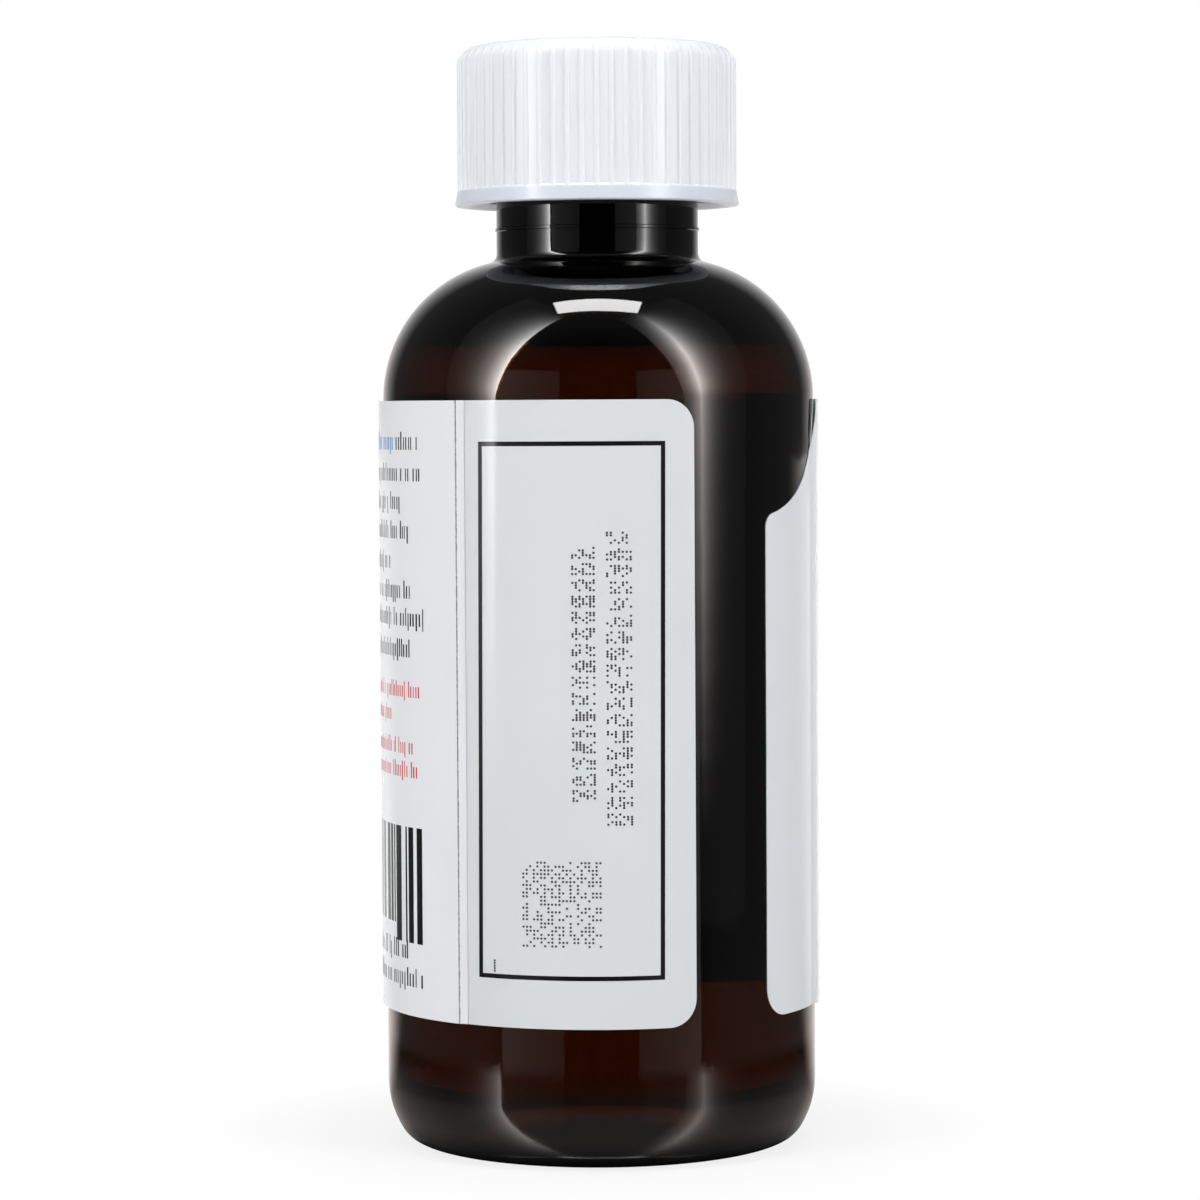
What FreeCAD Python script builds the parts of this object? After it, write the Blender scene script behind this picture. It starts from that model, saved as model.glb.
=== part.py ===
import FreeCAD, Part
import math
import os

# A four-ounce mouthwash bottle: a round amber bottle with its contents, a wrap-round leaflet label
# and a two-piece push-and-turn cap.
# Millimetres. +Z is the bottle's axis, the origin is the middle of the base and the front faces -Y.
# Angles round the bottle are in degrees, counted from the front towards +X.

# Bottle
BODY_DIAMETER = 45.0
BODY_HEIGHT = 77.8  # base to the start of the shoulder
WALL = 0.7
HEEL_RADIUS = 3.0  # where the heel meets the base
HEEL_EASE = 1.0  # how much wider the heel is than that radius
HEEL_HEIGHT = 6.5
STANDING_RING_WIDTH = 1.6
PUSH_UP_HEIGHT = 3.0
SHOULDER_RADIUS = 14.5
NECK_DIAMETER = 21.1
NECK_WALL = 1.55
NECK_FILLET = 1.0
NECK_LENGTH = 16.05  # above the fillet at its foot
LIP_ROUND = 0.4
PARTING_RING_LIFT = 2.25  # above the foot of the neck
PARTING_RING_HEIGHT = 0.4
PARTING_RING_PROUD = 0.12

# Contents
FILL_RISE = 5.6  # level above the start of the shoulder
LIQUID_CLEARANCE = 0.1

# Screw thread, right-handed, eight turns to the inch
THREAD_PITCH = 3.175
THREAD_TURNS = 1.5
THREAD_DEPTH = 1.25
THREAD_CREST_WIDTH = 0.9
THREAD_GROOVE_WIDTH = 1.075  # at the neck, between two turns
THREAD_DROP = 1.9  # lip to the middle of the thread's upper end
THREAD_SINK = 0.4  # how far a thread's root runs into its wall
THREAD_RUN_OUT = 0.15  # how deep the shaved ends dip under the neck
CAP_THREAD_TURNS = 1.4
CAP_THREAD_CREST_WIDTH = 0.5
CAP_THREAD_LIFT = 1.4  # skirt's foot to the middle of the thread's lower end
THREAD_CLEARANCE = 0.25  # radial, at the crests
THREAD_PLAY = 0.15  # axial, between the flanks that bear

# Liner and inner cap
LINER_THICKNESS = 1.0
LINER_CLEARANCE = 0.25
INNER_TOP = 1.2
INNER_WALL = 0.85
INNER_EDGE = 0.5

# Outer cap
CAP_HEIGHT = 16.5
CAP_GAP = 0.3  # between the two caps' walls
OUTER_TOP = 1.2
OUTER_WALL = 1.15
TOP_ROUND = 1.7
RIB_COUNT = 60
RIB_WIDTH = 0.6
RIB_HEIGHT = 0.22
RIB_FADE = 0.05  # how far the rounded top edge stands outside the ribs
RIM_HEIGHT = 0.9
RIM_PROUD = 0.28
RIM_SLOPE_HEIGHT = 0.4
RIM_SLOPE_DEPTH = 1.0
RIM_BREAK = 0.15
BEAD_PROUD = 0.75
BEAD_LEAD = 0.6
BEAD_HEIGHT = 0.7
BEAD_SLOPE = 0.2
BEAD_PLAY = 0.1
SKIRT_LEAD = 0.3

# Push-and-turn drive between the caps
PUSH_TRAVEL = 1.2
LUG_COUNT = 12
LUG_HEIGHT = 0.7
LUG_WIDTH = 1.8
LUG_LENGTH = 3.0
LUG_FLOOR_CLEARANCE = 0.1
LUG_MARGIN = 0.4  # lugs to the bevel of the inner cap's top
STAR_ARMS = 6
STAR_HUB_RADIUS = 2.6
STAR_ARM_WIDTH = 1.8
STAR_PAD_LENGTH = 1.2
STAR_THICKNESS = 0.45
STAR_CLEARANCE = 0.05
STAR_LUG_GAP = 1.0

# Label
LABEL_BOTTOM = 14.6
LABEL_TOP_MARGIN = 0.2  # under the start of the shoulder
GLUE_LINE = 0.03
BASE_LABEL_THICKNESS = 0.1
LEAFLET_THICKNESS = 0.23
COVER_THICKNESS = 0.08
BASE_LABEL_EDGE = 25.0  # the free edge, right of the front
BASE_LABEL_LEAD = 9.7  # how far the sheet starts ahead of the leaflet
BASE_LABEL_CORNER = 2.9
LEAFLET_START = 86.0
LEAFLET_FOLD = 38.7  # the fold, left of the front
TAIL_START = 48.4
TAIL_RAMP = 4.0
TAIL_HOLLOW = 7.0  # from the top of the ramp to the leaflet's edge
FOLD_RAMP = 1.1
FOLD_LAND = 1.1
TAIL_SCOOP_RADIUS = 13.8
TAIL_SCOOP_LEAD = 1.7  # how far the scoop's centre lies outside the tail's edge
TAIL_SCOOP_RISE = 1.9  # how far it lies above the label's top
TAIL_FOOT_CORNER = 1.5
TAIL_LOWER_CORNER = 3.0

ORIGIN = FreeCAD.Vector(0, 0, 0)
UP = FreeCAD.Vector(0, 0, 1)
FULL_TURN = 360.0
CUT_MARGIN = 1.0  # how far cutting tools reach past what they cut

# Radii and heights that follow from the sizes above
BODY_RADIUS = BODY_DIAMETER / 2
NECK_RADIUS = NECK_DIAMETER / 2
BORE_RADIUS = NECK_RADIUS - NECK_WALL
HEEL_CENTRE_RADIUS = BODY_RADIUS - HEEL_RADIUS - HEEL_EASE
HEEL_RISE = HEEL_HEIGHT - HEEL_RADIUS
HEEL_UPPER_RADIUS = ((HEEL_RADIUS + HEEL_EASE) ** 2 + HEEL_RISE**2 - HEEL_RADIUS**2) / (2 * HEEL_EASE)
HEEL_UPPER_CENTRE_RADIUS = BODY_RADIUS - HEEL_UPPER_RADIUS
PUSH_UP_RADIUS = HEEL_CENTRE_RADIUS - STANDING_RING_WIDTH
SHOULDER_CENTRE_RADIUS = BODY_RADIUS - SHOULDER_RADIUS
NECK_FOOT_Z = BODY_HEIGHT + math.sqrt(
    (SHOULDER_RADIUS + NECK_FILLET) ** 2
    - (NECK_RADIUS + NECK_FILLET - SHOULDER_CENTRE_RADIUS) ** 2
)
LIP_Z = NECK_FOOT_Z + NECK_LENGTH
FILL_Z = BODY_HEIGHT + FILL_RISE
THREAD_ROOT_WIDTH = THREAD_PITCH - THREAD_GROOVE_WIDTH
FLANK_SLOPE = (THREAD_ROOT_WIDTH - THREAD_CREST_WIDTH) / 2 / THREAD_DEPTH
THREAD_START_Z = LIP_Z - THREAD_DROP - THREAD_PITCH * THREAD_TURNS
INNER_BORE_RADIUS = NECK_RADIUS + THREAD_DEPTH + THREAD_CLEARANCE
INNER_RADIUS = INNER_BORE_RADIUS + INNER_WALL
INNER_CEILING_Z = LIP_Z + LINER_THICKNESS
INNER_TOP_Z = INNER_CEILING_Z + INNER_TOP
PUSH_GAP = PUSH_TRAVEL + LUG_HEIGHT + LUG_FLOOR_CLEARANCE
OUTER_CEILING_Z = INNER_TOP_Z + PUSH_GAP
CAP_TOP_Z = OUTER_CEILING_Z + OUTER_TOP
CAP_BOTTOM_Z = CAP_TOP_Z - CAP_HEIGHT
OUTER_BORE_RADIUS = INNER_RADIUS + CAP_GAP
OUTER_RADIUS = OUTER_BORE_RADIUS + OUTER_WALL
RIB_RADIUS = OUTER_RADIUS + RIB_HEIGHT
BEAD_TOP_Z = CAP_BOTTOM_Z + BEAD_LEAD + BEAD_HEIGHT + BEAD_SLOPE
INNER_BOTTOM_Z = BEAD_TOP_Z + BEAD_PLAY
LUG_INNER_RADIUS = INNER_RADIUS - INNER_EDGE - LUG_MARGIN - LUG_LENGTH
LUG_STEP = FULL_TURN / LUG_COUNT
STAR_RADIUS = LUG_INNER_RADIUS - STAR_LUG_GAP
LABEL_TOP = BODY_HEIGHT - LABEL_TOP_MARGIN
BASE_LABEL_RADIUS = BODY_RADIUS + GLUE_LINE
LEAFLET_RADIUS = BASE_LABEL_RADIUS + BASE_LABEL_THICKNESS + GLUE_LINE
COVER_RADIUS = LEAFLET_RADIUS + LEAFLET_THICKNESS + GLUE_LINE
BASE_LABEL_START = LEAFLET_START - BASE_LABEL_LEAD
BASE_LABEL_END = FULL_TURN + BASE_LABEL_EDGE
LEAFLET_END = FULL_TURN - LEAFLET_FOLD


def point(radius, z):
    """A point of a profile that is turned about the axis."""
    return FreeCAD.Vector(radius, 0, z)


def line(start, end):
    return Part.makeLine(start, end)


def chain(*points):
    """Straight edges from each point to the next."""
    return [line(a, b) for a, b in zip(points, points[1:])]


def arc_about(centre, radius, first, last):
    """An arc of a profile about a centre, from one angle to another, counted up from the radius."""
    def at(angle):
        turn = math.radians(angle)
        return centre + FreeCAD.Vector(radius * math.cos(turn), 0, radius * math.sin(turn))

    return Part.Arc(at(first), at((first + last) / 2), at(last)).toShape()


def dome(rim_radius, rim_z, height):
    """A shallow arc from the axis, one height above the rim, down to the rim."""
    sphere = (rim_radius**2 + height**2) / (2 * height)
    reach = math.degrees(math.asin(rim_radius / sphere))
    centre = point(0, rim_z + height - sphere)
    return arc_about(centre, sphere, 90, 90 - reach)


def lathe(edges):
    """Turns a closed profile once round the axis."""
    face = Part.Face(Part.Wire(Part.__sortEdges__(edges)))
    return face.revolve(ORIGIN, UP, FULL_TURN)


def turned(shape, angle):
    """A copy of a shape, turned about the axis."""
    copy = shape.copy()
    copy.rotate(ORIGIN, UP, angle)
    return copy


def fused(first, others):
    """Joins shapes into one clean solid."""
    return first.fuse(others).removeSplitter().Solids[0]


def helix_ridge(turns, root_radius, root_width, tip_radius, tip_width):
    """A ridge of trapezoid section along a right-hand helix that starts at +X on z = 0."""
    path = Part.Wire(Part.makeHelix(THREAD_PITCH, THREAD_PITCH * turns, root_radius))
    corners = [
        point(root_radius, -root_width / 2),
        point(tip_radius, -tip_width / 2),
        point(tip_radius, tip_width / 2),
        point(root_radius, root_width / 2),
    ]
    section = Part.makePolygon(corners + corners[:1])
    return Part.Solid(path.makePipeShell([section], True, True))


def body_edges(gap):
    """The profile of the base, heel and side, drawn in by a gap: two heel arcs that run into each other."""
    split = -math.degrees(math.atan2(HEEL_RISE, HEEL_CENTRE_RADIUS - HEEL_UPPER_CENTRE_RADIUS))
    return [
        dome(PUSH_UP_RADIUS, gap, PUSH_UP_HEIGHT),
        line(point(PUSH_UP_RADIUS, gap), point(HEEL_CENTRE_RADIUS, gap)),
        arc_about(point(HEEL_CENTRE_RADIUS, HEEL_RADIUS), HEEL_RADIUS - gap, -90, split),
        arc_about(point(HEEL_UPPER_CENTRE_RADIUS, HEEL_HEIGHT), HEEL_UPPER_RADIUS - gap, split, 0),
        line(point(BODY_RADIUS - gap, HEEL_HEIGHT), point(BODY_RADIUS - gap, BODY_HEIGHT)),
    ]


def cavity(inset):
    """The inside of the bottle, drawn in by an inset, up to just past the lip."""
    gap = WALL + inset
    shoulder = SHOULDER_RADIUS - gap
    bore = BORE_RADIUS - inset
    rise = math.degrees(math.acos((bore - SHOULDER_CENTRE_RADIUS) / shoulder))
    shoulder_top = BODY_HEIGHT + shoulder * math.sin(math.radians(rise))
    edges = body_edges(gap)
    edges.append(arc_about(point(SHOULDER_CENTRE_RADIUS, BODY_HEIGHT), shoulder, 0, rise))
    edges += chain(
        point(bore, shoulder_top),
        point(bore, LIP_Z + CUT_MARGIN),
        point(0, LIP_Z + CUT_MARGIN),
        point(0, gap + PUSH_UP_HEIGHT),
    )
    return lathe(edges)


def bottle_thread():
    """The raised thread of the neck, each end shaved down into the neck."""
    root = NECK_RADIUS - THREAD_SINK
    sunk_width = THREAD_ROOT_WIDTH + 2 * THREAD_SINK * FLANK_SLOPE
    ridge = helix_ridge(
        THREAD_TURNS, root, sunk_width, NECK_RADIUS + THREAD_DEPTH, THREAD_CREST_WIDTH
    )
    plane = NECK_RADIUS - THREAD_RUN_OUT
    shave = Part.makeBox(
        THREAD_DEPTH * 2, NECK_DIAMETER, THREAD_PITCH, FreeCAD.Vector(plane, -NECK_RADIUS, -THREAD_PITCH / 2)
    )
    upper = turned(shave, FULL_TURN * THREAD_TURNS)
    upper.translate(UP * (THREAD_PITCH * THREAD_TURNS))
    ridge = ridge.cut([shave, upper])
    ridge.translate(UP * THREAD_START_Z)
    return ridge


def bottle():
    """Blow-moulded bottle with its heel, hollow base, shoulder, neck, parting ring and thread."""
    fillet_offset = NECK_RADIUS + NECK_FILLET - SHOULDER_CENTRE_RADIUS
    lean = math.degrees(math.atan2(NECK_FOOT_Z - BODY_HEIGHT, fillet_offset))
    ring_low = NECK_FOOT_Z + PARTING_RING_LIFT
    ring_high = ring_low + PARTING_RING_HEIGHT
    ring_radius = NECK_RADIUS + PARTING_RING_PROUD
    edges = body_edges(0)
    edges.append(arc_about(point(SHOULDER_CENTRE_RADIUS, BODY_HEIGHT), SHOULDER_RADIUS, 0, lean))
    edges.append(arc_about(point(NECK_RADIUS + NECK_FILLET, NECK_FOOT_Z), NECK_FILLET, 180, 180 + lean))
    edges += chain(
        point(NECK_RADIUS, NECK_FOOT_Z),
        point(NECK_RADIUS, ring_low),
        point(ring_radius, ring_low),
        point(ring_radius, ring_high),
        point(NECK_RADIUS, ring_high),
        point(NECK_RADIUS, LIP_Z - LIP_ROUND),
    )
    edges.append(arc_about(point(NECK_RADIUS - LIP_ROUND, LIP_Z - LIP_ROUND), LIP_ROUND, 0, 90))
    edges += chain(point(NECK_RADIUS - LIP_ROUND, LIP_Z), point(0, LIP_Z), point(0, PUSH_UP_HEIGHT))
    walls = lathe(edges).cut(cavity(0))
    return fused(walls, [bottle_thread()])


def mouthwash():
    """The liquid, a hair clear of the bottle's inside, level at its surface."""
    below = Part.makeCylinder(BODY_RADIUS, FILL_Z)
    return cavity(LIQUID_CLEARANCE).common(below).Solids[0]


def liner():
    """The soft disc that seals the lip."""
    return Part.makeCylinder(INNER_BORE_RADIUS - LINER_CLEARANCE, LINER_THICKNESS, UP * LIP_Z)


def lugs(base_z, first_angle):
    """A ring of square drive lugs that stand on a level."""
    lug = Part.makeBox(
        LUG_LENGTH, LUG_WIDTH, LUG_HEIGHT, FreeCAD.Vector(LUG_INNER_RADIUS, -LUG_WIDTH / 2, base_z)
    )
    return [turned(lug, first_angle + step * LUG_STEP) for step in range(LUG_COUNT)]


def inner_cap():
    """The threaded inner cap, with drive lugs on its top."""
    edges = chain(
        point(0, INNER_CEILING_Z),
        point(INNER_BORE_RADIUS, INNER_CEILING_Z),
        point(INNER_BORE_RADIUS, INNER_BOTTOM_Z),
        point(INNER_RADIUS, INNER_BOTTOM_Z),
        point(INNER_RADIUS, INNER_TOP_Z - INNER_EDGE),
        point(INNER_RADIUS - INNER_EDGE, INNER_TOP_Z),
        point(0, INNER_TOP_Z),
        point(0, INNER_CEILING_Z),
    )
    crest_radius = NECK_RADIUS + THREAD_CLEARANCE
    root_radius = INNER_BORE_RADIUS + THREAD_SINK
    root_width = CAP_THREAD_CREST_WIDTH + 2 * (root_radius - crest_radius) * FLANK_SLOPE
    ridge = helix_ridge(
        CAP_THREAD_TURNS, root_radius, root_width, crest_radius, CAP_THREAD_CREST_WIDTH
    )
    below = (THREAD_ROOT_WIDTH + CAP_THREAD_CREST_WIDTH) / 2 - THREAD_CLEARANCE * FLANK_SLOPE
    start_z = INNER_BOTTOM_Z + CAP_THREAD_LIFT
    mesh_turns = (start_z - THREAD_START_Z + below + THREAD_PLAY) / THREAD_PITCH
    ridge = turned(ridge, FULL_TURN * mesh_turns)
    ridge.translate(UP * start_z)
    return fused(lathe(edges), [ridge] + lugs(INNER_TOP_Z, 0))


def spring_star():
    """The springy star between the caps: a flat hub with arms that rise to the outer cap."""
    height = PUSH_GAP - 2 * STAR_CLEARANCE
    pad_start = STAR_RADIUS - STAR_PAD_LENGTH
    corners = [
        point(0, 0),
        point(STAR_HUB_RADIUS, 0),
        point(pad_start, height - STAR_THICKNESS),
        point(STAR_RADIUS, height - STAR_THICKNESS),
        point(STAR_RADIUS, height),
        point(pad_start, height),
        point(STAR_HUB_RADIUS, STAR_THICKNESS),
        point(0, STAR_THICKNESS),
    ]
    arm = Part.Face(Part.makePolygon(corners + corners[:1])).extrude(FreeCAD.Vector(0, STAR_ARM_WIDTH, 0))
    arm.translate(FreeCAD.Vector(0, -STAR_ARM_WIDTH / 2, 0))
    hub = Part.makeCylinder(STAR_HUB_RADIUS, STAR_THICKNESS)
    star = fused(hub, [turned(arm, FULL_TURN * k / STAR_ARMS) for k in range(STAR_ARMS)])
    star.translate(UP * (INNER_TOP_Z + STAR_CLEARANCE))
    return star


def ribbed_prism():
    """A disc as tall as the cap above its rim, with rounded grip ribs all round."""
    step = FULL_TURN / RIB_COUNT
    half = math.degrees(RIB_WIDTH / 2 / OUTER_RADIUS)

    def at(radius, angle):
        return polar(radius, angle) + UP * (CAP_BOTTOM_Z + RIM_HEIGHT)

    edges = []
    for k in range(RIB_COUNT):
        crest = k * step
        edges.append(
            Part.Arc(
                at(OUTER_RADIUS, crest - half), at(RIB_RADIUS, crest), at(OUTER_RADIUS, crest + half)
            ).toShape()
        )
        edges.append(
            Part.Arc(
                at(OUTER_RADIUS, crest + half),
                at(OUTER_RADIUS, crest + step / 2),
                at(OUTER_RADIUS, crest + step - half),
            ).toShape()
        )
    return Part.Face(Part.Wire(edges)).extrude(UP * (CAP_HEIGHT - RIM_HEIGHT))


def rounded_top_envelope():
    """Everything under the cap's rounded top edge."""
    edge_centre = RIB_RADIUS + RIB_FADE - TOP_ROUND
    shoulder_z = CAP_TOP_Z - TOP_ROUND
    outside = RIB_RADIUS + RIB_FADE
    edges = [arc_about(point(edge_centre, shoulder_z), TOP_ROUND, 0, 90)]
    edges += chain(
        point(edge_centre, CAP_TOP_Z),
        point(0, CAP_TOP_Z),
        point(0, CAP_BOTTOM_Z),
        point(outside, CAP_BOTTOM_Z),
        point(outside, shoulder_z),
    )
    return lathe(edges)


def rim():
    """The plain flared band round the foot of the outer cap."""
    radius = RIB_RADIUS + RIM_PROUD
    slope_top = CAP_BOTTOM_Z + RIM_HEIGHT + RIM_SLOPE_HEIGHT
    edges = chain(
        point(0, CAP_BOTTOM_Z),
        point(radius - RIM_BREAK, CAP_BOTTOM_Z),
        point(radius, CAP_BOTTOM_Z + RIM_BREAK),
        point(radius, CAP_BOTTOM_Z + RIM_HEIGHT),
        point(radius - RIM_SLOPE_DEPTH, slope_top),
        point(0, slope_top),
        point(0, CAP_BOTTOM_Z),
    )
    return lathe(edges)


def outer_cap():
    """The ribbed outer cap, which holds the inner cap with a bead and drives it with lugs."""
    bead_radius = OUTER_BORE_RADIUS - BEAD_PROUD
    hollow = lathe(
        chain(
            point(0, CAP_BOTTOM_Z - CUT_MARGIN),
            point(OUTER_BORE_RADIUS + SKIRT_LEAD, CAP_BOTTOM_Z - CUT_MARGIN),
            point(OUTER_BORE_RADIUS + SKIRT_LEAD, CAP_BOTTOM_Z),
            point(bead_radius, CAP_BOTTOM_Z + BEAD_LEAD),
            point(bead_radius, CAP_BOTTOM_Z + BEAD_LEAD + BEAD_HEIGHT),
            point(OUTER_BORE_RADIUS, BEAD_TOP_Z),
            point(OUTER_BORE_RADIUS, OUTER_CEILING_Z),
            point(0, OUTER_CEILING_Z),
            point(0, CAP_BOTTOM_Z - CUT_MARGIN),
        )
    )
    block = ribbed_prism().common(rounded_top_envelope()).fuse(rim())
    shell = block.cut(hollow)
    return fused(shell, lugs(OUTER_CEILING_Z - LUG_HEIGHT, LUG_STEP / 2))


def polar(radius, angle):
    """A point on the level z = 0, at an angle counted from the front."""
    turn = math.radians(angle)
    return FreeCAD.Vector(radius * math.sin(turn), -radius * math.cos(turn), 0)


def path_round(stations):
    """Edges through (radius, angle) stations: arcs on one radius, straight ramps between two."""
    edges = []
    for (radius, angle), (next_radius, next_angle) in zip(stations, stations[1:]):
        start = polar(radius, angle)
        end = polar(next_radius, next_angle)
        if radius == next_radius:
            middle = polar(radius, (angle + next_angle) / 2)
            edges.append(Part.Arc(start, middle, end).toShape())
        else:
            edges.append(line(start, end))
    return edges


def wrap(stations, thickness):
    """A sheet of the label's full height that follows the stations round the bottle."""
    outside = [(radius + thickness, angle) for radius, angle in stations]
    edges = path_round(stations) + path_round(outside)
    edges.append(line(polar(*stations[0]), polar(*outside[0])))
    edges.append(line(polar(*stations[-1]), polar(*outside[-1])))
    sheet = Part.Face(Part.Wire(Part.__sortEdges__(edges))).extrude(UP * (LABEL_TOP - LABEL_BOTTOM))
    sheet.translate(UP * LABEL_BOTTOM)
    return sheet


def corner_tool(angle, inward, z, rise, radius):
    """What a rounded corner leaves off.

    The sheet's edge is at the angle and runs on towards inward (1 or -1), and the corner is at z
    with the sheet on the rise side of it (1 up, -1 down).
    """
    depth = BODY_RADIUS + CUT_MARGIN * 2
    across = inward * radius
    along = rise * radius
    diagonal = 1 - math.sqrt(0.5)
    start = FreeCAD.Vector(-inward * CUT_MARGIN, -depth, z + along)
    foot = FreeCAD.Vector(0, -depth, z + along)
    middle = FreeCAD.Vector(across * diagonal, -depth, z + along * diagonal)
    end = FreeCAD.Vector(across, -depth, z)
    below = FreeCAD.Vector(across, -depth, z - rise * CUT_MARGIN)
    outer = FreeCAD.Vector(-inward * CUT_MARGIN, -depth, z - rise * CUT_MARGIN)
    edges = [Part.Arc(foot, middle, end).toShape(), line(start, foot)]
    edges += chain(end, below, outer, start)
    prism = Part.Face(Part.Wire(Part.__sortEdges__(edges))).extrude(FreeCAD.Vector(0, BODY_RADIUS / 2, 0))
    return turned(prism, angle)


def scoop_tool():
    """What the tail's scooped upper corner leaves off.

    In the plane that faces the tail's edge, a round foot runs from that edge into the scoop's arc.
    """
    depth = BODY_RADIUS + CUT_MARGIN * 2
    top = LABEL_TOP + CUT_MARGIN
    centre_z = LABEL_TOP + TAIL_SCOOP_RISE
    reach = TAIL_SCOOP_RADIUS + TAIL_FOOT_CORNER
    across = TAIL_FOOT_CORNER + TAIL_SCOOP_LEAD
    foot_z = centre_z - math.sqrt(reach**2 - across**2)
    lean = math.asin(across / reach)
    end = math.acos((centre_z - top) / TAIL_SCOOP_RADIUS)

    def place(x, z):
        return FreeCAD.Vector(x, -depth, z)

    def on_scoop(turn):
        x = TAIL_SCOOP_RADIUS * math.sin(turn) - TAIL_SCOOP_LEAD
        return place(x, centre_z - TAIL_SCOOP_RADIUS * math.cos(turn))

    def on_foot(turn):
        return place(TAIL_FOOT_CORNER * (1 - math.sin(turn)), foot_z + TAIL_FOOT_CORNER * math.cos(turn))

    outer = place(-CUT_MARGIN, foot_z)
    edges = [
        Part.Arc(on_foot(math.pi / 2), on_foot((math.pi / 2 + lean) / 2), on_foot(lean)).toShape(),
        Part.Arc(on_scoop(lean), on_scoop((lean + end) / 2), on_scoop(end)).toShape(),
        line(outer, on_foot(math.pi / 2)),
    ]
    edges += chain(on_scoop(end), place(-CUT_MARGIN, top), outer)
    prism = Part.Face(Part.Wire(Part.__sortEdges__(edges))).extrude(FreeCAD.Vector(0, BODY_RADIUS, 0))
    return turned(prism, TAIL_START)


def base_label():
    """The bottom sheet, glued to the bottle, with round corners and the tail's scoop cut out of it."""
    sheet = wrap(
        [(BASE_LABEL_RADIUS, BASE_LABEL_START), (BASE_LABEL_RADIUS, BASE_LABEL_END)],
        BASE_LABEL_THICKNESS,
    )
    tools = [
        corner_tool(BASE_LABEL_START, 1, LABEL_BOTTOM, 1, BASE_LABEL_CORNER),
        corner_tool(BASE_LABEL_END, -1, LABEL_BOTTOM, 1, BASE_LABEL_CORNER),
        corner_tool(BASE_LABEL_END, -1, LABEL_TOP, -1, BASE_LABEL_CORNER),
        scoop_tool(),
    ]
    return sheet.cut(tools).Solids[0]


def folded_leaflet():
    """The folded leaflet, a flat pack of paper round the back of the bottle."""
    return wrap([(LEAFLET_RADIUS, LEAFLET_START), (LEAFLET_RADIUS, LEAFLET_END)], LEAFLET_THICKNESS)


def cover_label():
    """The clear-coated cover over the leaflet, with its pull tail stuck to the bare bottle."""
    land = BASE_LABEL_RADIUS + BASE_LABEL_THICKNESS + GLUE_LINE
    lifted = LEAFLET_START - TAIL_HOLLOW
    fold = LEAFLET_END + FOLD_RAMP
    sheet = wrap(
        [
            (BASE_LABEL_RADIUS, TAIL_START),
            (BASE_LABEL_RADIUS, lifted - TAIL_RAMP),
            (COVER_RADIUS, lifted),
            (COVER_RADIUS, LEAFLET_END),
            (land, fold),
            (land, fold + FOLD_LAND),
        ],
        COVER_THICKNESS,
    )
    lower_corner = corner_tool(TAIL_START, 1, LABEL_BOTTOM, 1, TAIL_LOWER_CORNER)
    return sheet.cut([scoop_tool(), lower_corner]).Solids[0]


NODES = {
    "bottle": bottle,
    "mouthwash": mouthwash,
    "base_label": base_label,
    "folded_leaflet": folded_leaflet,
    "cover_label": cover_label,
    "liner": liner,
    "inner_cap": inner_cap,
    "spring_star": spring_star,
    "outer_cap": outer_cap,
}

os.makedirs("parts", exist_ok=True)
for name, make in NODES.items():
    solid = make()
    solid.exportStep(f"parts/{name}.step")
    box = solid.BoundBox
    print(name, solid.isValid(), round(solid.Volume, 1), round(box.ZMin, 2), round(box.ZMax, 2))
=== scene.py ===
"""A four-ounce mouthwash bottle: amber bottle and contents, wrap-round leaflet label, push-and-turn cap.

Sizes of the object are in millimetres and become metres where a mesh is made. Lamps and camera are placed
in metres. +Z is the bottle's axis and the front faces -Y. Angles round the bottle are in degrees, counted
from the front towards +X.
"""

import logging
import math
from dataclasses import dataclass, field
from enum import Enum

import bpy
import numpy as np
from mathutils import Matrix, Vector


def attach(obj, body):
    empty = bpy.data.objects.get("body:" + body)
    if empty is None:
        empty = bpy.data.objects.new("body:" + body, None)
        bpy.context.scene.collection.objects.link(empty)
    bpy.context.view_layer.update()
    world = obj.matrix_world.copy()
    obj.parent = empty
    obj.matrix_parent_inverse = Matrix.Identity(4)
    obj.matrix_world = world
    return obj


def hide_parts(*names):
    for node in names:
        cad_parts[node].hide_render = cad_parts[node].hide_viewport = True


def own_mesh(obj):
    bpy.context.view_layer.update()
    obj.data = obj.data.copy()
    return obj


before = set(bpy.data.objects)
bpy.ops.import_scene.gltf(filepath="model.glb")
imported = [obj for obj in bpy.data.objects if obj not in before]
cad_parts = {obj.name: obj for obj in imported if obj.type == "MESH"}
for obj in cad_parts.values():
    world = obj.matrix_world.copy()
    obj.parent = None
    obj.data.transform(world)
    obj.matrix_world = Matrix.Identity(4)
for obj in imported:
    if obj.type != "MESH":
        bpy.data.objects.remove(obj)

MM = 0.001
SEED = 24
SAME_POINT = 1e-6  # millimetres within which two points of a profile are one
Array = np.ndarray
Pair = tuple[float, float]
Span = tuple[float, float, float, float]  # first angle, last angle, low height, high height
Tree, Node, Socket = bpy.types.NodeTree, bpy.types.Node, bpy.types.NodeSocket
Inputs = dict[str | int, object]
log = logging.getLogger("mouthwash_bottle")


class Body(Enum):
    """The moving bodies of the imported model."""

    BOTTLE = "bottle"
    SPRING_STAR = "spring_star"
    OUTER_CAP = "outer_cap"


class Slot(Enum):
    """The record's material slots."""

    AMBER_PET = "amber_pet"
    LIQUID = "liquid"
    LABEL_FILM = "label_film"
    LEAFLET_PAPER = "leaflet_paper"
    COVER_FILM = "cover_film"
    SPRING_ACETAL = "spring_acetal"
    CAP_POLYPROPYLENE = "cap_polypropylene"


# Surfaces


@dataclass
class Surface:
    """Points in millimetres and blocks of faces, each block with one number of corners."""

    points: Array
    blocks: list[Array]


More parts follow.
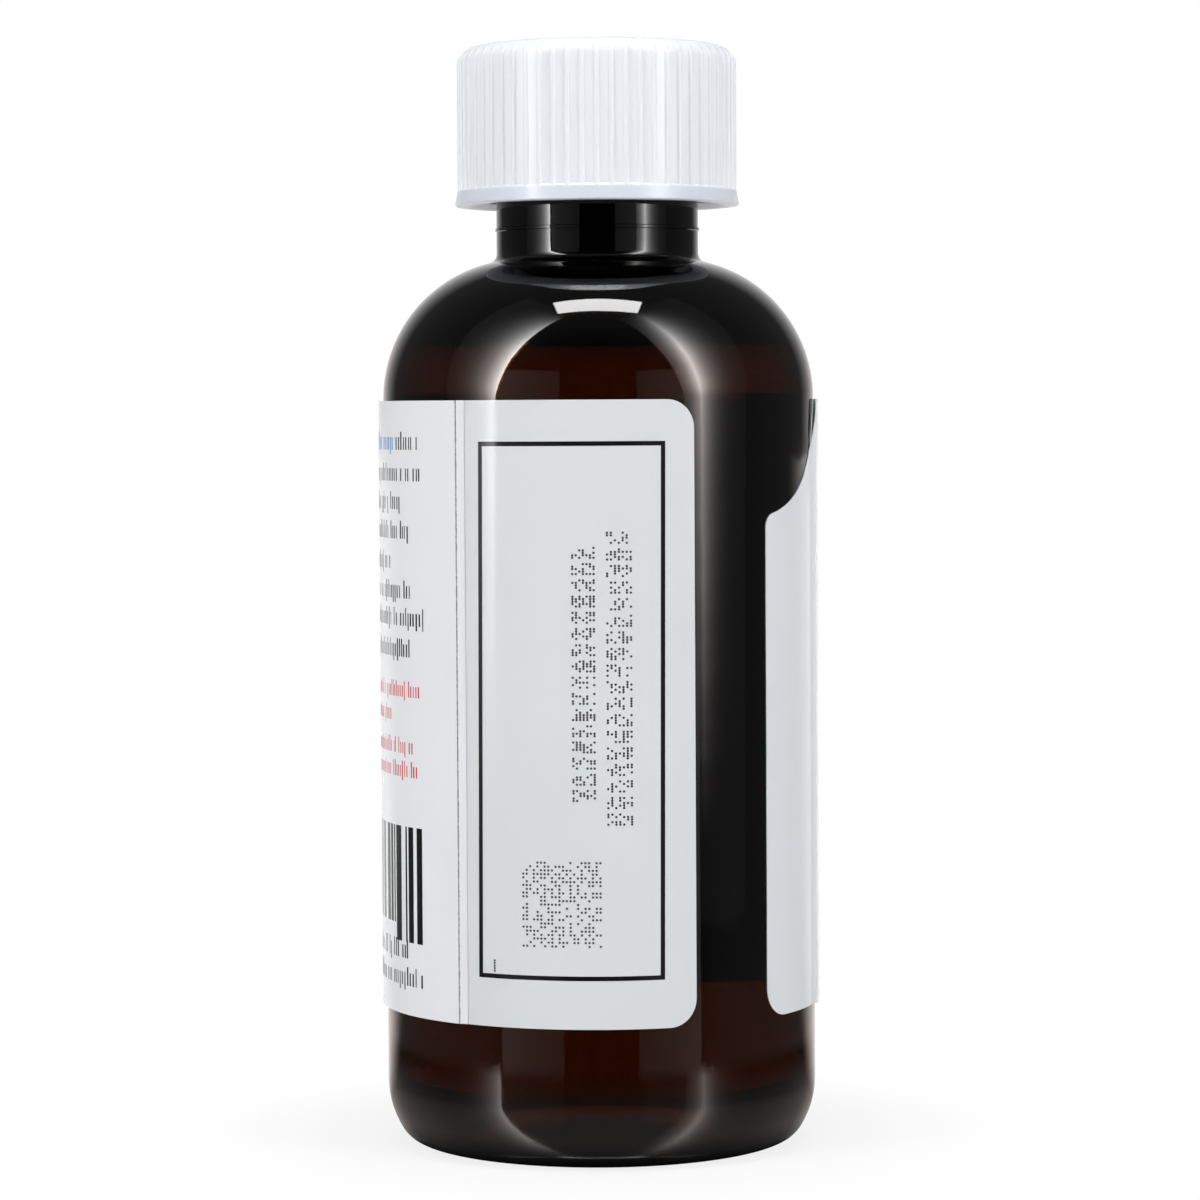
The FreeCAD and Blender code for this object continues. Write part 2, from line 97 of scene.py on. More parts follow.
def smooth_step(share: Array) -> Array:
    """Rises from 0 to 1 with level ends: 3 t^2 - 2 t^3, with t held between 0 and 1."""
    held = np.clip(share, 0, 1)
    return held * held * (3 - 2 * held)


def once_round(count: int) -> Array:
    """Even angles once round the axis, from the front."""
    return np.linspace(0, 360, count, endpoint=False)


def polar(radius: Array, angle: Array, height: Array) -> Array:
    """Points round the axis: x is r sin a, y is -r cos a.

    Args:
        radius: distances from the axis.
        angle: degrees from the front.
        height: heights above the base.

    Returns:
        The points, in the three arrays' common shape with a last axis of 3.
    """
    radius, turn, height = np.broadcast_arrays(radius, np.radians(angle), height)
    return np.stack([radius * np.sin(turn), -radius * np.cos(turn), height], axis=-1)


def closed(index: Array) -> Array:
    """A grid of vertex numbers with its first column again at the end."""
    return np.concatenate([index, index[:, :1]], axis=1)


def grid_quads(index: Array) -> Array:
    """The four-cornered faces between neighbours in a grid of vertex numbers, one row of four per face."""
    corners = [index[:-1, :-1], index[:-1, 1:], index[1:, 1:], index[1:, :-1]]
    return np.stack(corners, axis=-1).reshape(-1, 4)


def joined(surfaces: list[Surface]) -> Surface:
    """Several surfaces as one, with their vertex numbers moved on.

    Args:
        surfaces: the surfaces, each closed by itself.

    Returns:
        One surface with all points and faces.
    """
    starts = np.cumsum([0] + [len(part.points) for part in surfaces])
    blocks = [block + start for part, start in zip(surfaces, starts) for block in part.blocks]
    return Surface(np.concatenate([part.points for part in surfaces]), blocks)


def lathe(radius: Array, height: Array, angle: Array) -> Surface:
    """A profile turned about the axis, closed by a pole at each end.

    A point is at radius(row, column) and height(row), turned to angle(column). The first and last rows
    lie on the axis and become one vertex each.

    Args:
        radius: rows, or rows by columns where the outline changes round the axis.
        height: one height per row.
        angle: one angle per column, once round.

    Returns:
        A closed surface with its faces outwards, if the profile runs from the base up the outside.
    """
    rows, columns = len(height), len(angle)
    ring = np.broadcast_to(radius if radius.ndim == 2 else radius[:, None], (rows, columns))[1:-1]
    points = polar(ring, angle[None, :], height[1:-1, None]).reshape(-1, 3)
    index = closed(np.arange(len(points)).reshape(rows - 2, columns))
    first, last = len(points), len(points) + 1
    poles = np.array([[0, 0, height[0]], [0, 0, height[-1]]])
    low = np.stack([np.full(columns, first), index[0, 1:], index[0, :-1]], axis=-1)
    high = np.stack([index[-1, :-1], index[-1, 1:], np.full(columns, last)], axis=-1)
    return Surface(np.concatenate([points, poles]), [grid_quads(index), low, high])


def carried_strip(loops: Array) -> Surface:
    """A closed loop of points carried along a path, with a cap at each end.

    The first half of a loop runs up the outside and the second half down the inside, so that a cap is
    the row of faces between the two halves.

    Args:
        loops: stations by loop points by 3.

    Returns:
        A closed surface.
    """
    stations, around = loops.shape[:2]
    index = np.arange(stations * around).reshape(stations, around)
    sides = grid_quads(closed(index).T)
    half = around // 2
    caps = []
    for end, flip in ((index[0], False), (index[-1], True)):
        pair = np.stack([end[:half], end[half:][::-1]], axis=0)
        caps.append(grid_quads(pair if flip else pair[::-1]))
    return Surface(loops.reshape(-1, 3), [sides] + caps)


def curved_tiles(
    inner: float, outer: float, spans: Array, steps: int, lean: float = 0.0, pivot: float = 0.0
) -> Surface:
    """Blocks bent round the axis, each with its own angles and heights.

    A block's loop is its section (outer low, outer high, inner high, inner low), carried in equal
    steps from the first angle to the last. A lean turns each point by that much per millimetre of
    height above the pivot.

    Args:
        inner: radius of the inside faces.
        outer: radius of the outside faces.
        spans: one row per block: first angle, last angle, low height, high height.
        steps: how many straight steps follow the curve.
        lean: degrees per millimetre.
        pivot: the height that the lean leaves in place.

    Returns:
        All the blocks as one surface.
    """
    share = np.linspace(0, 1, steps + 1)
    angle = spans[:, :1] + share * (spans[:, 1:2] - spans[:, :1])
    height = spans[:, [2, 3, 3, 2]][:, None, :]
    turned = angle[:, :, None] + lean * (height - pivot)
    points = polar(np.array([outer, outer, inner, inner]), turned, height)
    tile = carried_strip(points[0])
    move = np.arange(len(spans))[:, None, None] * len(tile.points)
    blocks = [(block[None] + move).reshape(-1, block.shape[1]) for block in tile.blocks]
    return Surface(points.reshape(-1, 3), blocks)


def ink_dots(radius: float, rise: float, angle: Array, height: Array, size: float, sides: int = 8) -> Surface:
    """Round dots on a cylinder: prisms of a few sides, sunk as deep as they rise.

    Args:
        radius: of the cylinder.
        rise: how far a dot stands out.
        angle: one per dot.
        height: one per dot.
        size: a dot's radius.
        sides: corners of a dot.

    Returns:
        All the dots as one surface.
    """
    turn = np.linspace(0, 2 * math.pi, sides, endpoint=False)
    across = np.degrees(size * np.cos(turn) / radius)
    up = size * np.sin(turn)
    rings = [polar(radius + step, angle[:, None] + across, height[:, None] + up) for step in (rise, -rise)]
    points = np.stack(rings, axis=1).reshape(-1, 3)
    number = np.arange(len(angle))[:, None] * 2 * sides
    near = np.arange(sides)
    after = np.roll(near, -1)
    wall = np.stack([near, near + sides, after + sides, after], axis=-1)
    walls = (number[:, :, None] + wall[None]).reshape(-1, 4)
    return Surface(points, [number + near, number + sides + near[::-1], walls])


@dataclass
class Profile:
    """A line in the plane of radius and height, drawn in runs."""

    runs: list[Array] = field(default_factory=list)

    def line(self, start: Pair, end: Pair, steps: int = 1) -> "Profile":
        """Adds a straight run.

        Args:
            start: radius and height of its start.
            end: and of its end.
            steps: how many equal steps it has.

        Returns:
            The profile.
        """
        share = np.linspace(0, 1, steps + 1)[:, None]
        self.runs.append(np.array(start) + share * (np.array(end) - np.array(start)))
        return self

    def arc(self, centre: Pair, radius: float, first: float, last: float, steps: int) -> "Profile":
        """Adds an arc.

        Args:
            centre: radius and height of its centre.
            radius: of the arc.
            first: angle of its start, counted from the radius towards the height.
            last: angle of its end.
            steps: how many equal steps it has.

        Returns:
            The profile.
        """
        turn = np.radians(np.linspace(first, last, steps + 1))
        self.runs.append(np.array(centre) + radius * np.stack([np.cos(turn), np.sin(turn)], axis=-1))
        return self

    def points(self) -> Array:
        """The runs as one line.

        Returns:
            Rows of radius and height, each meeting point once.
        """
        line = np.concatenate(self.runs)
        apart = np.linalg.norm(np.diff(line, axis=0), axis=1) > SAME_POINT
        return line[np.concatenate([[True], apart])]


def make_piece(
    name: str,
    surface: Surface,
    finish: "Finish",
    body: Body,
    replaces: tuple[str, ...] = (),
    crease: float = 35.0,
) -> bpy.types.Object:
    """Puts a surface into the scene as a named piece of the object.

    Args:
        name: the piece's plain name.
        surface: its shape, in millimetres.
        finish: what it is made of.
        body: the body that it rides on.
        replaces: the CAD nodes that it stands for.
        crease: edges sharper than this many degrees stay sharp.

    Returns:
        The new object, at the origin.
    """
    corners = np.concatenate([block.ravel() for block in surface.blocks]).astype(np.int32)
    counts = np.concatenate([np.full(len(block), block.shape[1]) for block in surface.blocks])
    starts = np.concatenate([[0], np.cumsum(counts)[:-1]]).astype(np.int32)
    mesh = bpy.data.meshes.new(name)
    mesh.vertices.add(len(surface.points))
    mesh.vertices.foreach_set("co", (surface.points * MM).astype(np.float32).ravel())
    mesh.loops.add(len(corners))
    mesh.loops.foreach_set("vertex_index", corners)
    mesh.polygons.add(len(starts))
    mesh.polygons.foreach_set("loop_start", starts)
    mesh.update(calc_edges=True)
    mesh.validate()
    mesh.shade_smooth()
    mesh.set_sharp_from_angle(angle=math.radians(crease))
    mesh.materials.append(finish.material())
    piece = bpy.data.objects.new(name, mesh)
    bpy.context.scene.collection.objects.link(piece)
    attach(piece, body.value)
    if replaces:
        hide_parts(*replaces)
    log.info("%s: %d points, rides on %s", name, len(surface.points), body.value)
    return piece


# Finishes

# Settings that several nodes share
COLOURS = {"data_type": "RGBA"}
SMOOTH = {"interpolation_type": "SMOOTHSTEP"}
LARGER = {"operation": "MAXIMUM"}
SMALLER = {"operation": "MINIMUM"}
TIMES = {"operation": "MULTIPLY"}
LENGTH = {"operation": "LENGTH"}
# Inputs of a Map Range node in order, and the numbers of a Mix node's inputs, whose names repeat
RANGE = ("Value", "From Min", "From Max", "To Min", "To Max")
SHARE, FLOAT_A, FLOAT_B, COLOUR_A, COLOUR_B = 0, 2, 3, 6, 7
WHITE = (1.0, 1.0, 1.0, 1.0)


def linear(hex_colour: str) -> tuple[float, float, float, float]:
    """A linear colour from an sRGB one.

    Args:
        hex_colour: such as #A0B0C0.

    Returns:
        Red, green, blue and an alpha of 1.
    """
    srgb = [int(hex_colour[at : at + 2], 16) / 255 for at in (1, 3, 5)]
    red, green, blue = (s / 12.92 if s <= 0.04045 else ((s + 0.055) / 1.055) ** 2.4 for s in srgb)
    return red, green, blue, 1.0


def per_metre(size: float) -> float:
    """The texture scale at which a pattern repeats about every so many millimetres."""
    return 1 / (size * MM)


def add(
    tree: Tree, kind: str, settings: dict[str, object] | None = None, inputs: Inputs | None = None
) -> Node:
    """Adds a node with its settings and links.

    Args:
        tree: where the node goes.
        kind: the node's class name after ShaderNode.
        settings: properties by name.
        inputs: as for set_inputs.

    Returns:
        The new node.
    """
    node = tree.nodes.new(f"ShaderNode{kind}")
    for key, value in (settings or {}).items():
        setattr(node, key, value)
    set_inputs(tree, node, inputs or {})
    return node


def set_inputs(tree: Tree, node: Node, inputs: Inputs) -> None:
    """Sets or links a node's inputs.

    Args:
        tree: where the node is.
        node: the node.
        inputs: by name or number. A socket is linked, a node by its first live output, and a value is set.
    """
    for key, value in inputs.items():
        if isinstance(value, Node):
            value = next(socket for socket in value.outputs if socket.enabled)
        if isinstance(value, Socket):
            tree.links.new(value, node.inputs[key])
        else:
            node.inputs[key].default_value = value


@dataclass(frozen=True)
class Finish:
    """What a surface is made of. Each kind of finish draws its own nodes."""

    title: str

    def material(self) -> bpy.types.Material:
        """The finish as a material.

        Returns:
            The material, made at its first use.
        """
        made = bpy.data.materials.get(self.title)
        if made is None:
            made = bpy.data.materials.new(self.title)
            made.use_nodes = True
            tree = made.node_tree
            place = add(tree, "TexCoord").outputs["Object"]
            set_inputs(tree, tree.nodes["Principled BSDF"], self.draw(tree, place))
        return made

    def draw(self, tree: Tree, place: Socket) -> Inputs:
        """Adds the nodes that feed the shader.

        Args:
            tree: the material's nodes.
            place: Object coordinates.

        Returns:
            The shader's inputs.
        """
        raise NotImplementedError

    def mottled(self, tree: Tree, place: Socket, size: float, detail: float, *colours: str) -> Node:
        """Two colours mixed by a cloudy noise.

        Args:
            tree: the material's nodes.
            place: Object coordinates.
            size: millimetres in which the clouds repeat.
            detail: how many finer layers the clouds have.
            colours: the two colours.

        Returns:
            The node that mixes them.
        """
        cloud = add(tree, "TexNoise", None, {"Vector": place, "Scale": per_metre(size), "Detail": detail})
        one, other = (linear(colour) for colour in colours)
        return add(tree, "Mix", COLOURS, {SHARE: cloud, COLOUR_A: one, COLOUR_B: other})


@dataclass(frozen=True)
class AmberPet(Finish):
    """Blow-moulded amber PET: glossy, see-through where the light behind is strong, faintly rippled."""

    title: str = "blown_amber_pet"
    wall: str = "#6E431B"  # what one body wall lets through
    thick: str = "#1A0F09"  # what the thick wall of the neck, the shoulder's top and the base lets through
    thick_from: float = 82.8  # heights between which the shoulder's wall thickens
    thick_to: float = 84.0
    base_from: float = 21.6  # distances from the axis between which the base's wall thickens
    base_to: float = 20.6
    ripple: float = 5.0
    ripple_depth: float = 0.012

    def draw(self, tree: Tree, place: Socket) -> Inputs:
        """Tints by place, because the wall thickens towards neck and base, and ripples the surface.

        Args:
            tree: the material's nodes.
            place: Object coordinates.

        Returns:
            The shader's inputs.
        """
        up = add(tree, "SeparateXYZ", None, {"Vector": place}).outputs["Z"]
        flat = add(tree, "VectorMath", TIMES, {0: place, 1: (1, 1, 0)})
        around = add(tree, "VectorMath", LENGTH, {0: flat})
        shares = [
            add(tree, "MapRange", SMOOTH, dict(zip(RANGE, (value, first * MM, last * MM))))
            for value, first, last in (
                (up, self.thick_from, self.thick_to),
                (around, self.base_from, self.base_to),
            )
        ]
        thickness = add(tree, "Math", LARGER, dict(enumerate(shares)))
        wall, thick = linear(self.wall), linear(self.thick)
        tint = add(tree, "Mix", COLOURS, {SHARE: thickness, COLOUR_A: wall, COLOUR_B: thick})
        waves = add(tree, "TexNoise", None, {"Vector": place, "Scale": per_metre(self.ripple), "Detail": 1.0})
        bump = add(tree, "Bump", None, {"Height": waves, "Distance": self.ripple_depth * MM})
        return {
            "Base Color": tint,
            "Roughness": 0.035,
            "IOR": 1.57,
            "Transmission Weight": 1.0,
            "Normal": bump,
        }


@dataclass(frozen=True)
class Liquid(Finish):
    """Water with a little alcohol and glycerine: clear, with a faint dye that drifts slightly in depth."""

    title: str = "mouthwash_liquid"
    pale: str = "#E9EEF2"
    deep: str = "#DDE8F0"
    drift: float = 18.0

    def draw(self, tree: Tree, place: Socket) -> Inputs:
        """Clear refraction with a slow drift of the dye."""
        tint = self.mottled(tree, place, self.drift, 1.0, self.pale, self.deep)
        return {"Base Color": tint, "Roughness": 0.0, "IOR": 1.34, "Transmission Weight": 1.0}


@dataclass(frozen=True)
class Sheeting(Finish):
    """Coated or plain paper: a mottled white with fibre grain, as glossy as its varnish."""

    light: str
    shade: str
    roughness: float
    uneven: float = 0.04  # how far the roughness varies each way
    mottle: float = 9.0
    fibre: float = 0.35  # real fibres are finer; drawn this coarse to show
    fibre_depth: float = 0.004
    wave: float = 7.0
    wave_depth: float = 0.02

    def draw(self, tree: Tree, place: Socket) -> Inputs:
        """Mottles the white, varies the gloss with the fibres and lets the sheet lie a little uneven.

        Args:
            tree: the material's nodes.
            place: Object coordinates.

        Returns:
            The shader's inputs.
        """
        white = self.mottled(tree, place, self.mottle, 3.0, self.light, self.shade)
        grain = add(tree, "TexNoise", None, {"Vector": place, "Scale": per_metre(self.fibre), "Detail": 2.0})
        swell = add(tree, "TexNoise", None, {"Vector": place, "Scale": per_metre(self.wave), "Detail": 0.0})
        low, high = self.roughness - self.uneven, self.roughness + self.uneven
        gloss = add(tree, "MapRange", None, {"Value": grain, "To Min": low, "To Max": high})
        lie = add(tree, "Bump", None, {"Height": swell, "Distance": self.wave_depth * MM})
        bump = add(tree, "Bump", None, {"Height": grain, "Distance": self.fibre_depth * MM, "Normal": lie})
        colour = self.marked(tree, white, grain)
        return {"Base Color": colour, "Roughness": gloss, "IOR": 1.5, "Normal": bump}

    def marked(self, tree: Tree, white: Node, grain: Node) -> Node:
        """The sheet's colour with any show-through and painted shade; a plain sheet has none."""
        return white


@dataclass(frozen=True)
class CreasedSheeting(Sheeting):
    """Coated paper, greyer where the dark bottle shows through, with painted shade along the crease of a
    fold.
    """

    over_bottle: str = "#DADDE1"
    # painted shade in the crease where the cover steps down at the fold
    crease: str = "#84868C"
    crease_shade_width: float = 0.07
    crease_shade_raggedness: float = 0.025
    grain_low: float = 0.3  # values of the grain between which the painted crease shade goes from narrow to wide
    grain_high: float = 0.7

    def marked(self, tree: Tree, white: Node, grain: Node) -> Node:
        """Greys the sheet where its backing attribute is 0, and paints shade along the fold.

        The painted shade lies where the fold_distance attribute, in millimetres, is under a ragged width.

        Args:
            tree: the material's nodes.
            white: the plain sheet's colour.
            grain: the noise of its fibres.

        Returns:
            The node with the marked sheet's colour.
        """
        backing, away = (
            add(tree, "Attribute", {"attribute_name": name}).outputs["Fac"]
            for name in ("backing", "fold_distance")
        )
        grey, crease = linear(self.over_bottle), linear(self.crease)
        sheet = add(tree, "Mix", COLOURS, {SHARE: backing, COLOUR_A: grey, COLOUR_B: white})
        narrow, wide = self.crease_shade_width - self.crease_shade_raggedness, self.crease_shade_width + self.crease_shade_raggedness
        span = (grain, self.grain_low, self.grain_high, narrow, wide)
        width = add(tree, "MapRange", None, dict(zip(RANGE, span)))
        # painted shade along the fold, as wide as the grain makes it
        inside = add(tree, "Math", {"operation": "LESS_THAN"}, {0: away, 1: width})
        return add(tree, "Mix", COLOURS, {SHARE: inside, COLOUR_A: sheet, COLOUR_B: crease})


@dataclass(frozen=True)
class Ink(Finish):
    """Printing ink on coated paper: thin, slightly uneven in cover, as glossy as the varnish over it."""

    full: str
    thin: str
    roughness: float
    speckle: float = 0.3

    def draw(self, tree: Tree, place: Socket) -> Inputs:
        """Varies the colour where the ink lies thinner."""
        colour = self.mottled(tree, place, self.speckle, 2.0, self.full, self.thin)
        return {"Base Color": colour, "Roughness": self.roughness, "IOR": 1.5}


@dataclass(frozen=True)
class MouldedPlastic(Finish):
    """Injection-moulded plastic, a little translucent: satin, with the mould's texture and flow marks."""

    light: str
    shade: str
    roughness: float
    uneven: float = 0.05  # how far the roughness varies each way
    glow: float = 0.1  # how much light wanders under the skin
    glow_depth: float = 0.8
    skin: float = 0.4  # the mould's texture is finer; drawn this coarse to show
    skin_depth: float = 0.003
    flow: float = 6.0
    rim: str = "#D1D5DF"  # painted shade: the band round the rim is drawn cooler and darker
    rim_shade_from: float = 0.0  # heights between which the rim's painted shade starts, from above; alike for none
    rim_shade_to: float = 0.0

    def draw(self, tree: Tree, place: Socket) -> Inputs:
        """Soft flow marks in the colour, painted shade on the rim, fine texture in gloss and bump, and a
        shallow glow.

        Args:
            tree: the material's nodes.
            place: Object coordinates.

        Returns:
            The shader's inputs.
        """
        plain = self.mottled(tree, place, self.flow, 2.0, self.light, self.shade)
        texture = add(tree, "TexNoise", None, {"Vector": place, "Scale": per_metre(self.skin), "Detail": 2.0})
        up = add(tree, "SeparateXYZ", None, {"Vector": place}).outputs["Z"]
        # painted shade: the colour goes cooler and darker below the rim's top
        low = add(tree, "MapRange", SMOOTH, dict(zip(RANGE, (up, self.rim_shade_from * MM, self.rim_shade_to * MM))))
        colour = add(tree, "Mix", COLOURS, {SHARE: low, COLOUR_A: plain, COLOUR_B: linear(self.rim)})
        smooth, rough = self.roughness - self.uneven, self.roughness + self.uneven
        gloss = add(tree, "MapRange", None, {"Value": texture, "To Min": smooth, "To Max": rough})
        bump = add(tree, "Bump", None, {"Height": texture, "Distance": self.skin_depth * MM})
        return {
            "Base Color": colour,
            "Roughness": gloss,
            "IOR": 1.49,
            "Subsurface Weight": self.glow,
            "Subsurface Radius": (1.0, 1.0, 1.0),
            "Subsurface Scale": self.glow_depth * MM,
            "Normal": bump,
        }


@dataclass(frozen=True)
class FoamLiner(Finish):
    """Foamed polyethylene: matt white with fine closed cells."""

    title: str = "polyethylene_foam"
    light: str = "#F0F0EC"
    shade: str = "#E2E2DC"
    cell: float = 0.35
    cell_depth: float = 0.02

    def draw(self, tree: Tree, place: Socket) -> Inputs:
        """Cells in colour and bump.

        Args:
            tree: the material's nodes.
            place: Object coordinates.

        Returns:
            The shader's inputs.
        """
        cells = add(tree, "TexVoronoi", None, {"Vector": place, "Scale": per_metre(self.cell)})
        light, shade = linear(self.light), linear(self.shade)
        colour = add(tree, "Mix", COLOURS, {SHARE: cells, COLOUR_A: light, COLOUR_B: shade})
        bump = add(tree, "Bump", None, {"Height": cells, "Distance": self.cell_depth * MM})
        return {"Base Color": colour, "Roughness": 0.7, "IOR": 1.5, "Normal": bump}


BASE_FILM = Sheeting("varnished_label_paper", "#DADEE1", "#D6DADD", 0.12, fibre_depth=0.0012)
COVER_FILM = CreasedSheeting("varnished_cover_paper", "#EAEBEE", "#E5E7EA", 0.14, fibre_depth=0.0012)
LEAFLET_PAPER = Sheeting("uncoated_leaflet_paper", "#E9E9E4", "#DEDED8", 0.7, wave_depth=0.0)
BLACK_INK = Ink("black_printing_ink", "#101113", "#18191B", 0.12)
BLUE_INK = Ink("blue_printing_ink", "#2A78C8", "#4A90D6", 0.18)
RED_INK = Ink("red_printing_ink", "#C9252C", "#DC5358", 0.18)
JET_INK = Ink("grey_jet_ink", "#232427", "#56585C", 0.45)
# the cap's rim band carries painted shade
CAP_PLASTIC = MouldedPlastic("moulded_polypropylene", "#EAEDF1", "#E7EAEF", 0.22, rim_shade_from=99.5, rim_shade_to=99.1)
INNER_PLASTIC = MouldedPlastic("natural_polypropylene", "#ECEDEE", "#E3E5E6", 0.4)
SPRING_PLASTIC = MouldedPlastic("moulded_acetal", "#F0EFE8", "#E6E4DC", 0.3)


# The object


@dataclass
class Bottle:
    """The blow-moulded bottle and what is in it."""

    radius: float = 22.5
    side_top: float = 77.8
    wall: float = 0.7
    heel_radius: float = 3.0
    heel_ease: float = 1.0
    heel_height: float = 6.5
    ring_width: float = 1.6
    push_up: float = 3.0
    shoulder: float = 14.5
    neck_radius: float = 10.55
    neck_wall: float = 1.55
    neck_fillet: float = 1.0
    neck_length: float = 16.05
    lip_round: float = 0.4
    ring_lift: float = 2.25
    ring_height: float = 0.4
    ring_proud: float = 0.12
    ring_bevel: float = 0.06
    thread_pitch: float = 3.175
    thread_turns: float = 1.5
    thread_start: float = 90.0
    thread_depth: float = 1.25
    thread_crest: float = 0.9
    thread_root: float = 2.1
    thread_drop: float = 1.9
    thread_fade: float = 28.0  # degrees over which an end runs out
    thread_reach: float = 6.0  # height under the last thread that is drawn in fine rows, up to the lip
    thread_rows: int = 74
    fill_rise: float = 4.7
    liquid_gap: float = 0.1
    meniscus: float = 0.8
    meniscus_reach: float = 1.2
    level_rows: int = 24
    columns: int = 224

    @property
    def shoulder_centre(self) -> float:
        """Radius of the shoulder's centre."""
        return self.radius - self.shoulder

    @property
    def fillet_centre(self) -> float:
        """Radius of the centre of the fillet between shoulder and neck."""
        return self.neck_radius + self.neck_fillet

    @property
    def neck_foot(self) -> float:
        """Height at which the fillet meets the neck."""
        across = self.fillet_centre - self.shoulder_centre
        return self.side_top + math.sqrt((self.shoulder + self.neck_fillet) ** 2 - across**2)

    @property
    def lip(self) -> float:
        """Height of the lip."""
        return self.neck_foot + self.neck_length

    def body_profile(self, gap: float) -> Profile:
        """The base, heel and side, drawn in by a gap.

        The base is a shallow dome with a flat standing ring. The heel is two arcs that run into each
        other: a small one at the base and a larger one at the side.

        Args:
            gap: how far the line lies inside the bottle's outside.

        Returns:
            The profile, from the axis to the top of the side.
        """
        foot = self.radius - self.heel_radius - self.heel_ease
        rise = self.heel_height - self.heel_radius
        heel = self.heel_radius + self.heel_ease
        upper = (heel**2 + rise**2 - self.heel_radius**2) / (2 * self.heel_ease)
        centre = self.radius - upper
        split = -math.degrees(math.atan2(rise, foot - centre))
        rim = foot - self.ring_width
        sphere = (rim**2 + self.push_up**2) / (2 * self.push_up)
        reach = math.degrees(math.asin(rim / sphere))
        side = self.radius - gap
        return (
            Profile()
            .arc((0, gap + self.push_up - sphere), sphere, 90, 90 - reach, 14)
            .line((rim, gap), (foot, gap), 3)
            .arc((foot, self.heel_radius), self.heel_radius - gap, -90, split, 12)
            .arc((centre, self.heel_height), upper - gap, split, 0, 14)
            .line((side, self.heel_height), (side, self.side_top), 12)
        )

    def outside(self) -> Array:
        """The outside: body, round shoulder, fillet, neck with its parting ring, and the lip's round edge.

        Returns:
            Rows of radius and height, from the middle of the base to the lip.
        """
        neck, bevel = self.neck_radius, self.ring_bevel
        up, across = self.neck_foot - self.side_top, self.fillet_centre - self.shoulder_centre
        lean = math.degrees(math.atan2(up, across))
        low = self.neck_foot + self.ring_lift
        high = low + self.ring_height
        proud = neck + self.ring_proud
        fine = self.lip - self.thread_drop - self.thread_reach
        edge = self.lip - self.lip_round
        return (
            self.body_profile(0)
            .arc((self.shoulder_centre, self.side_top), self.shoulder, 0, lean, 44)
            .arc((self.fillet_centre, self.neck_foot), self.neck_fillet, 180 + lean, 180, 10)
            .line((neck, self.neck_foot), (neck, low), 2)
            .line((proud - bevel, low), (proud, low + bevel))
            .line((proud, high - bevel), (proud - bevel, high))
            .line((neck, high), (neck, fine), 2)
            .line((neck, fine), (neck, edge), self.thread_rows)
            .arc((neck - self.lip_round, edge), self.lip_round, 0, 90, 6)
            .points()
        )

    def inside(self) -> Array:
        """The inside: bore, shoulder and body, a wall's thickness in.

        Returns:
            Rows of radius and height, from the lip down to the middle of the base.
        """
        bore = self.neck_radius - self.neck_wall
        arc = self.shoulder - self.wall
        rise = math.degrees(math.acos((bore - self.shoulder_centre) / arc))
        foot = self.side_top + arc * math.sin(math.radians(rise))
        bevel = self.lip_round / 2
        profile = (
            self.body_profile(self.wall)
            .arc((self.shoulder_centre, self.side_top), arc, 0, rise, 30)
            .line((bore, foot), (bore, self.lip - bevel), 4)
            .line((bore, self.lip - bevel), (bore + bevel, self.lip))
        )
        return profile.points()[::-1]

    def thread(self, height: Array, angle: Array) -> Array:
        """How far the thread stands out of the neck.

        The ridge follows height = start + pitch * turn / 360 for one and a half turns. Across it, the
        section is a trapezoid, and along it each end runs out smoothly.

        Args:
            height: rows.
            angle: columns, in degrees from the front.

        Returns:
            Rows by columns, in millimetres.
        """
        start = self.lip - self.thread_drop - self.thread_pitch * self.thread_turns
        end = 360 * self.thread_turns
        turn = ((angle - self.thread_start) % 360)[None, None, :] + 360 * np.arange(2)[:, None, None]
        centre = start + self.thread_pitch * turn / 360
        flank = (self.thread_root - self.thread_crest) / 2
        section = np.clip((self.thread_root / 2 - np.abs(height[None, :, None] - centre)) / flank, 0, 1)
        ends = smooth_step(turn / self.thread_fade) * smooth_step((end - turn) / self.thread_fade)
        return self.thread_depth * (section * ends).max(axis=0)

    def build_bottle(self) -> Surface:
        """The whole bottle: the outside profile with the thread added, then the inside profile, turned.

        Returns:
            A closed surface.
        """
        outer = self.outside()
        inner = self.inside()
        angle = once_round(self.columns)
        ridge = self.thread(outer[:, 1], angle)
        ridge[outer[:, 1] < self.neck_foot] = 0
        ridge[outer[:, 1] > self.lip - self.lip_round] = 0
        radius = np.concatenate([outer[:, :1] + ridge, np.repeat(inner[:, :1], self.columns, axis=1)])
        return lathe(radius, np.concatenate([outer[:, 1], inner[:, 1]]), angle)

    def build_mouthwash(self) -> Surface:
        """The liquid: the inside drawn in by a hair, and a level that climbs the wall.

        The level's height is fill + climb * exp(-(distance from the wall) / reach).

        Returns:
            A closed surface.
        """
        gap = self.wall + self.liquid_gap
        arc = self.shoulder - gap
        fill = self.side_top + self.fill_rise
        contact = math.degrees(math.asin((self.fill_rise + self.meniscus) / arc))
        side = self.body_profile(gap).arc((self.shoulder_centre, self.side_top), arc, 0, contact, 12).points()
        reach = side[-1, 0]
        across = reach * (1 - np.linspace(0, 1, self.level_rows + 1)[1:] ** 2)
        level = fill + self.meniscus * np.exp((across - reach) / self.meniscus_reach)
        radius = np.concatenate([side[:, 0], across])
        return lathe(radius, np.concatenate([side[:, 1], level]), once_round(self.columns))

    def build(self) -> None:
        """Makes the bottle and its contents."""
        make_piece("amber_bottle", self.build_bottle(), AmberPet(), Body.BOTTLE, ("bottle",))
        fill = self.build_mouthwash()
        make_piece("mouthwash_fill", fill, Liquid(), Body.BOTTLE, ("mouthwash",))


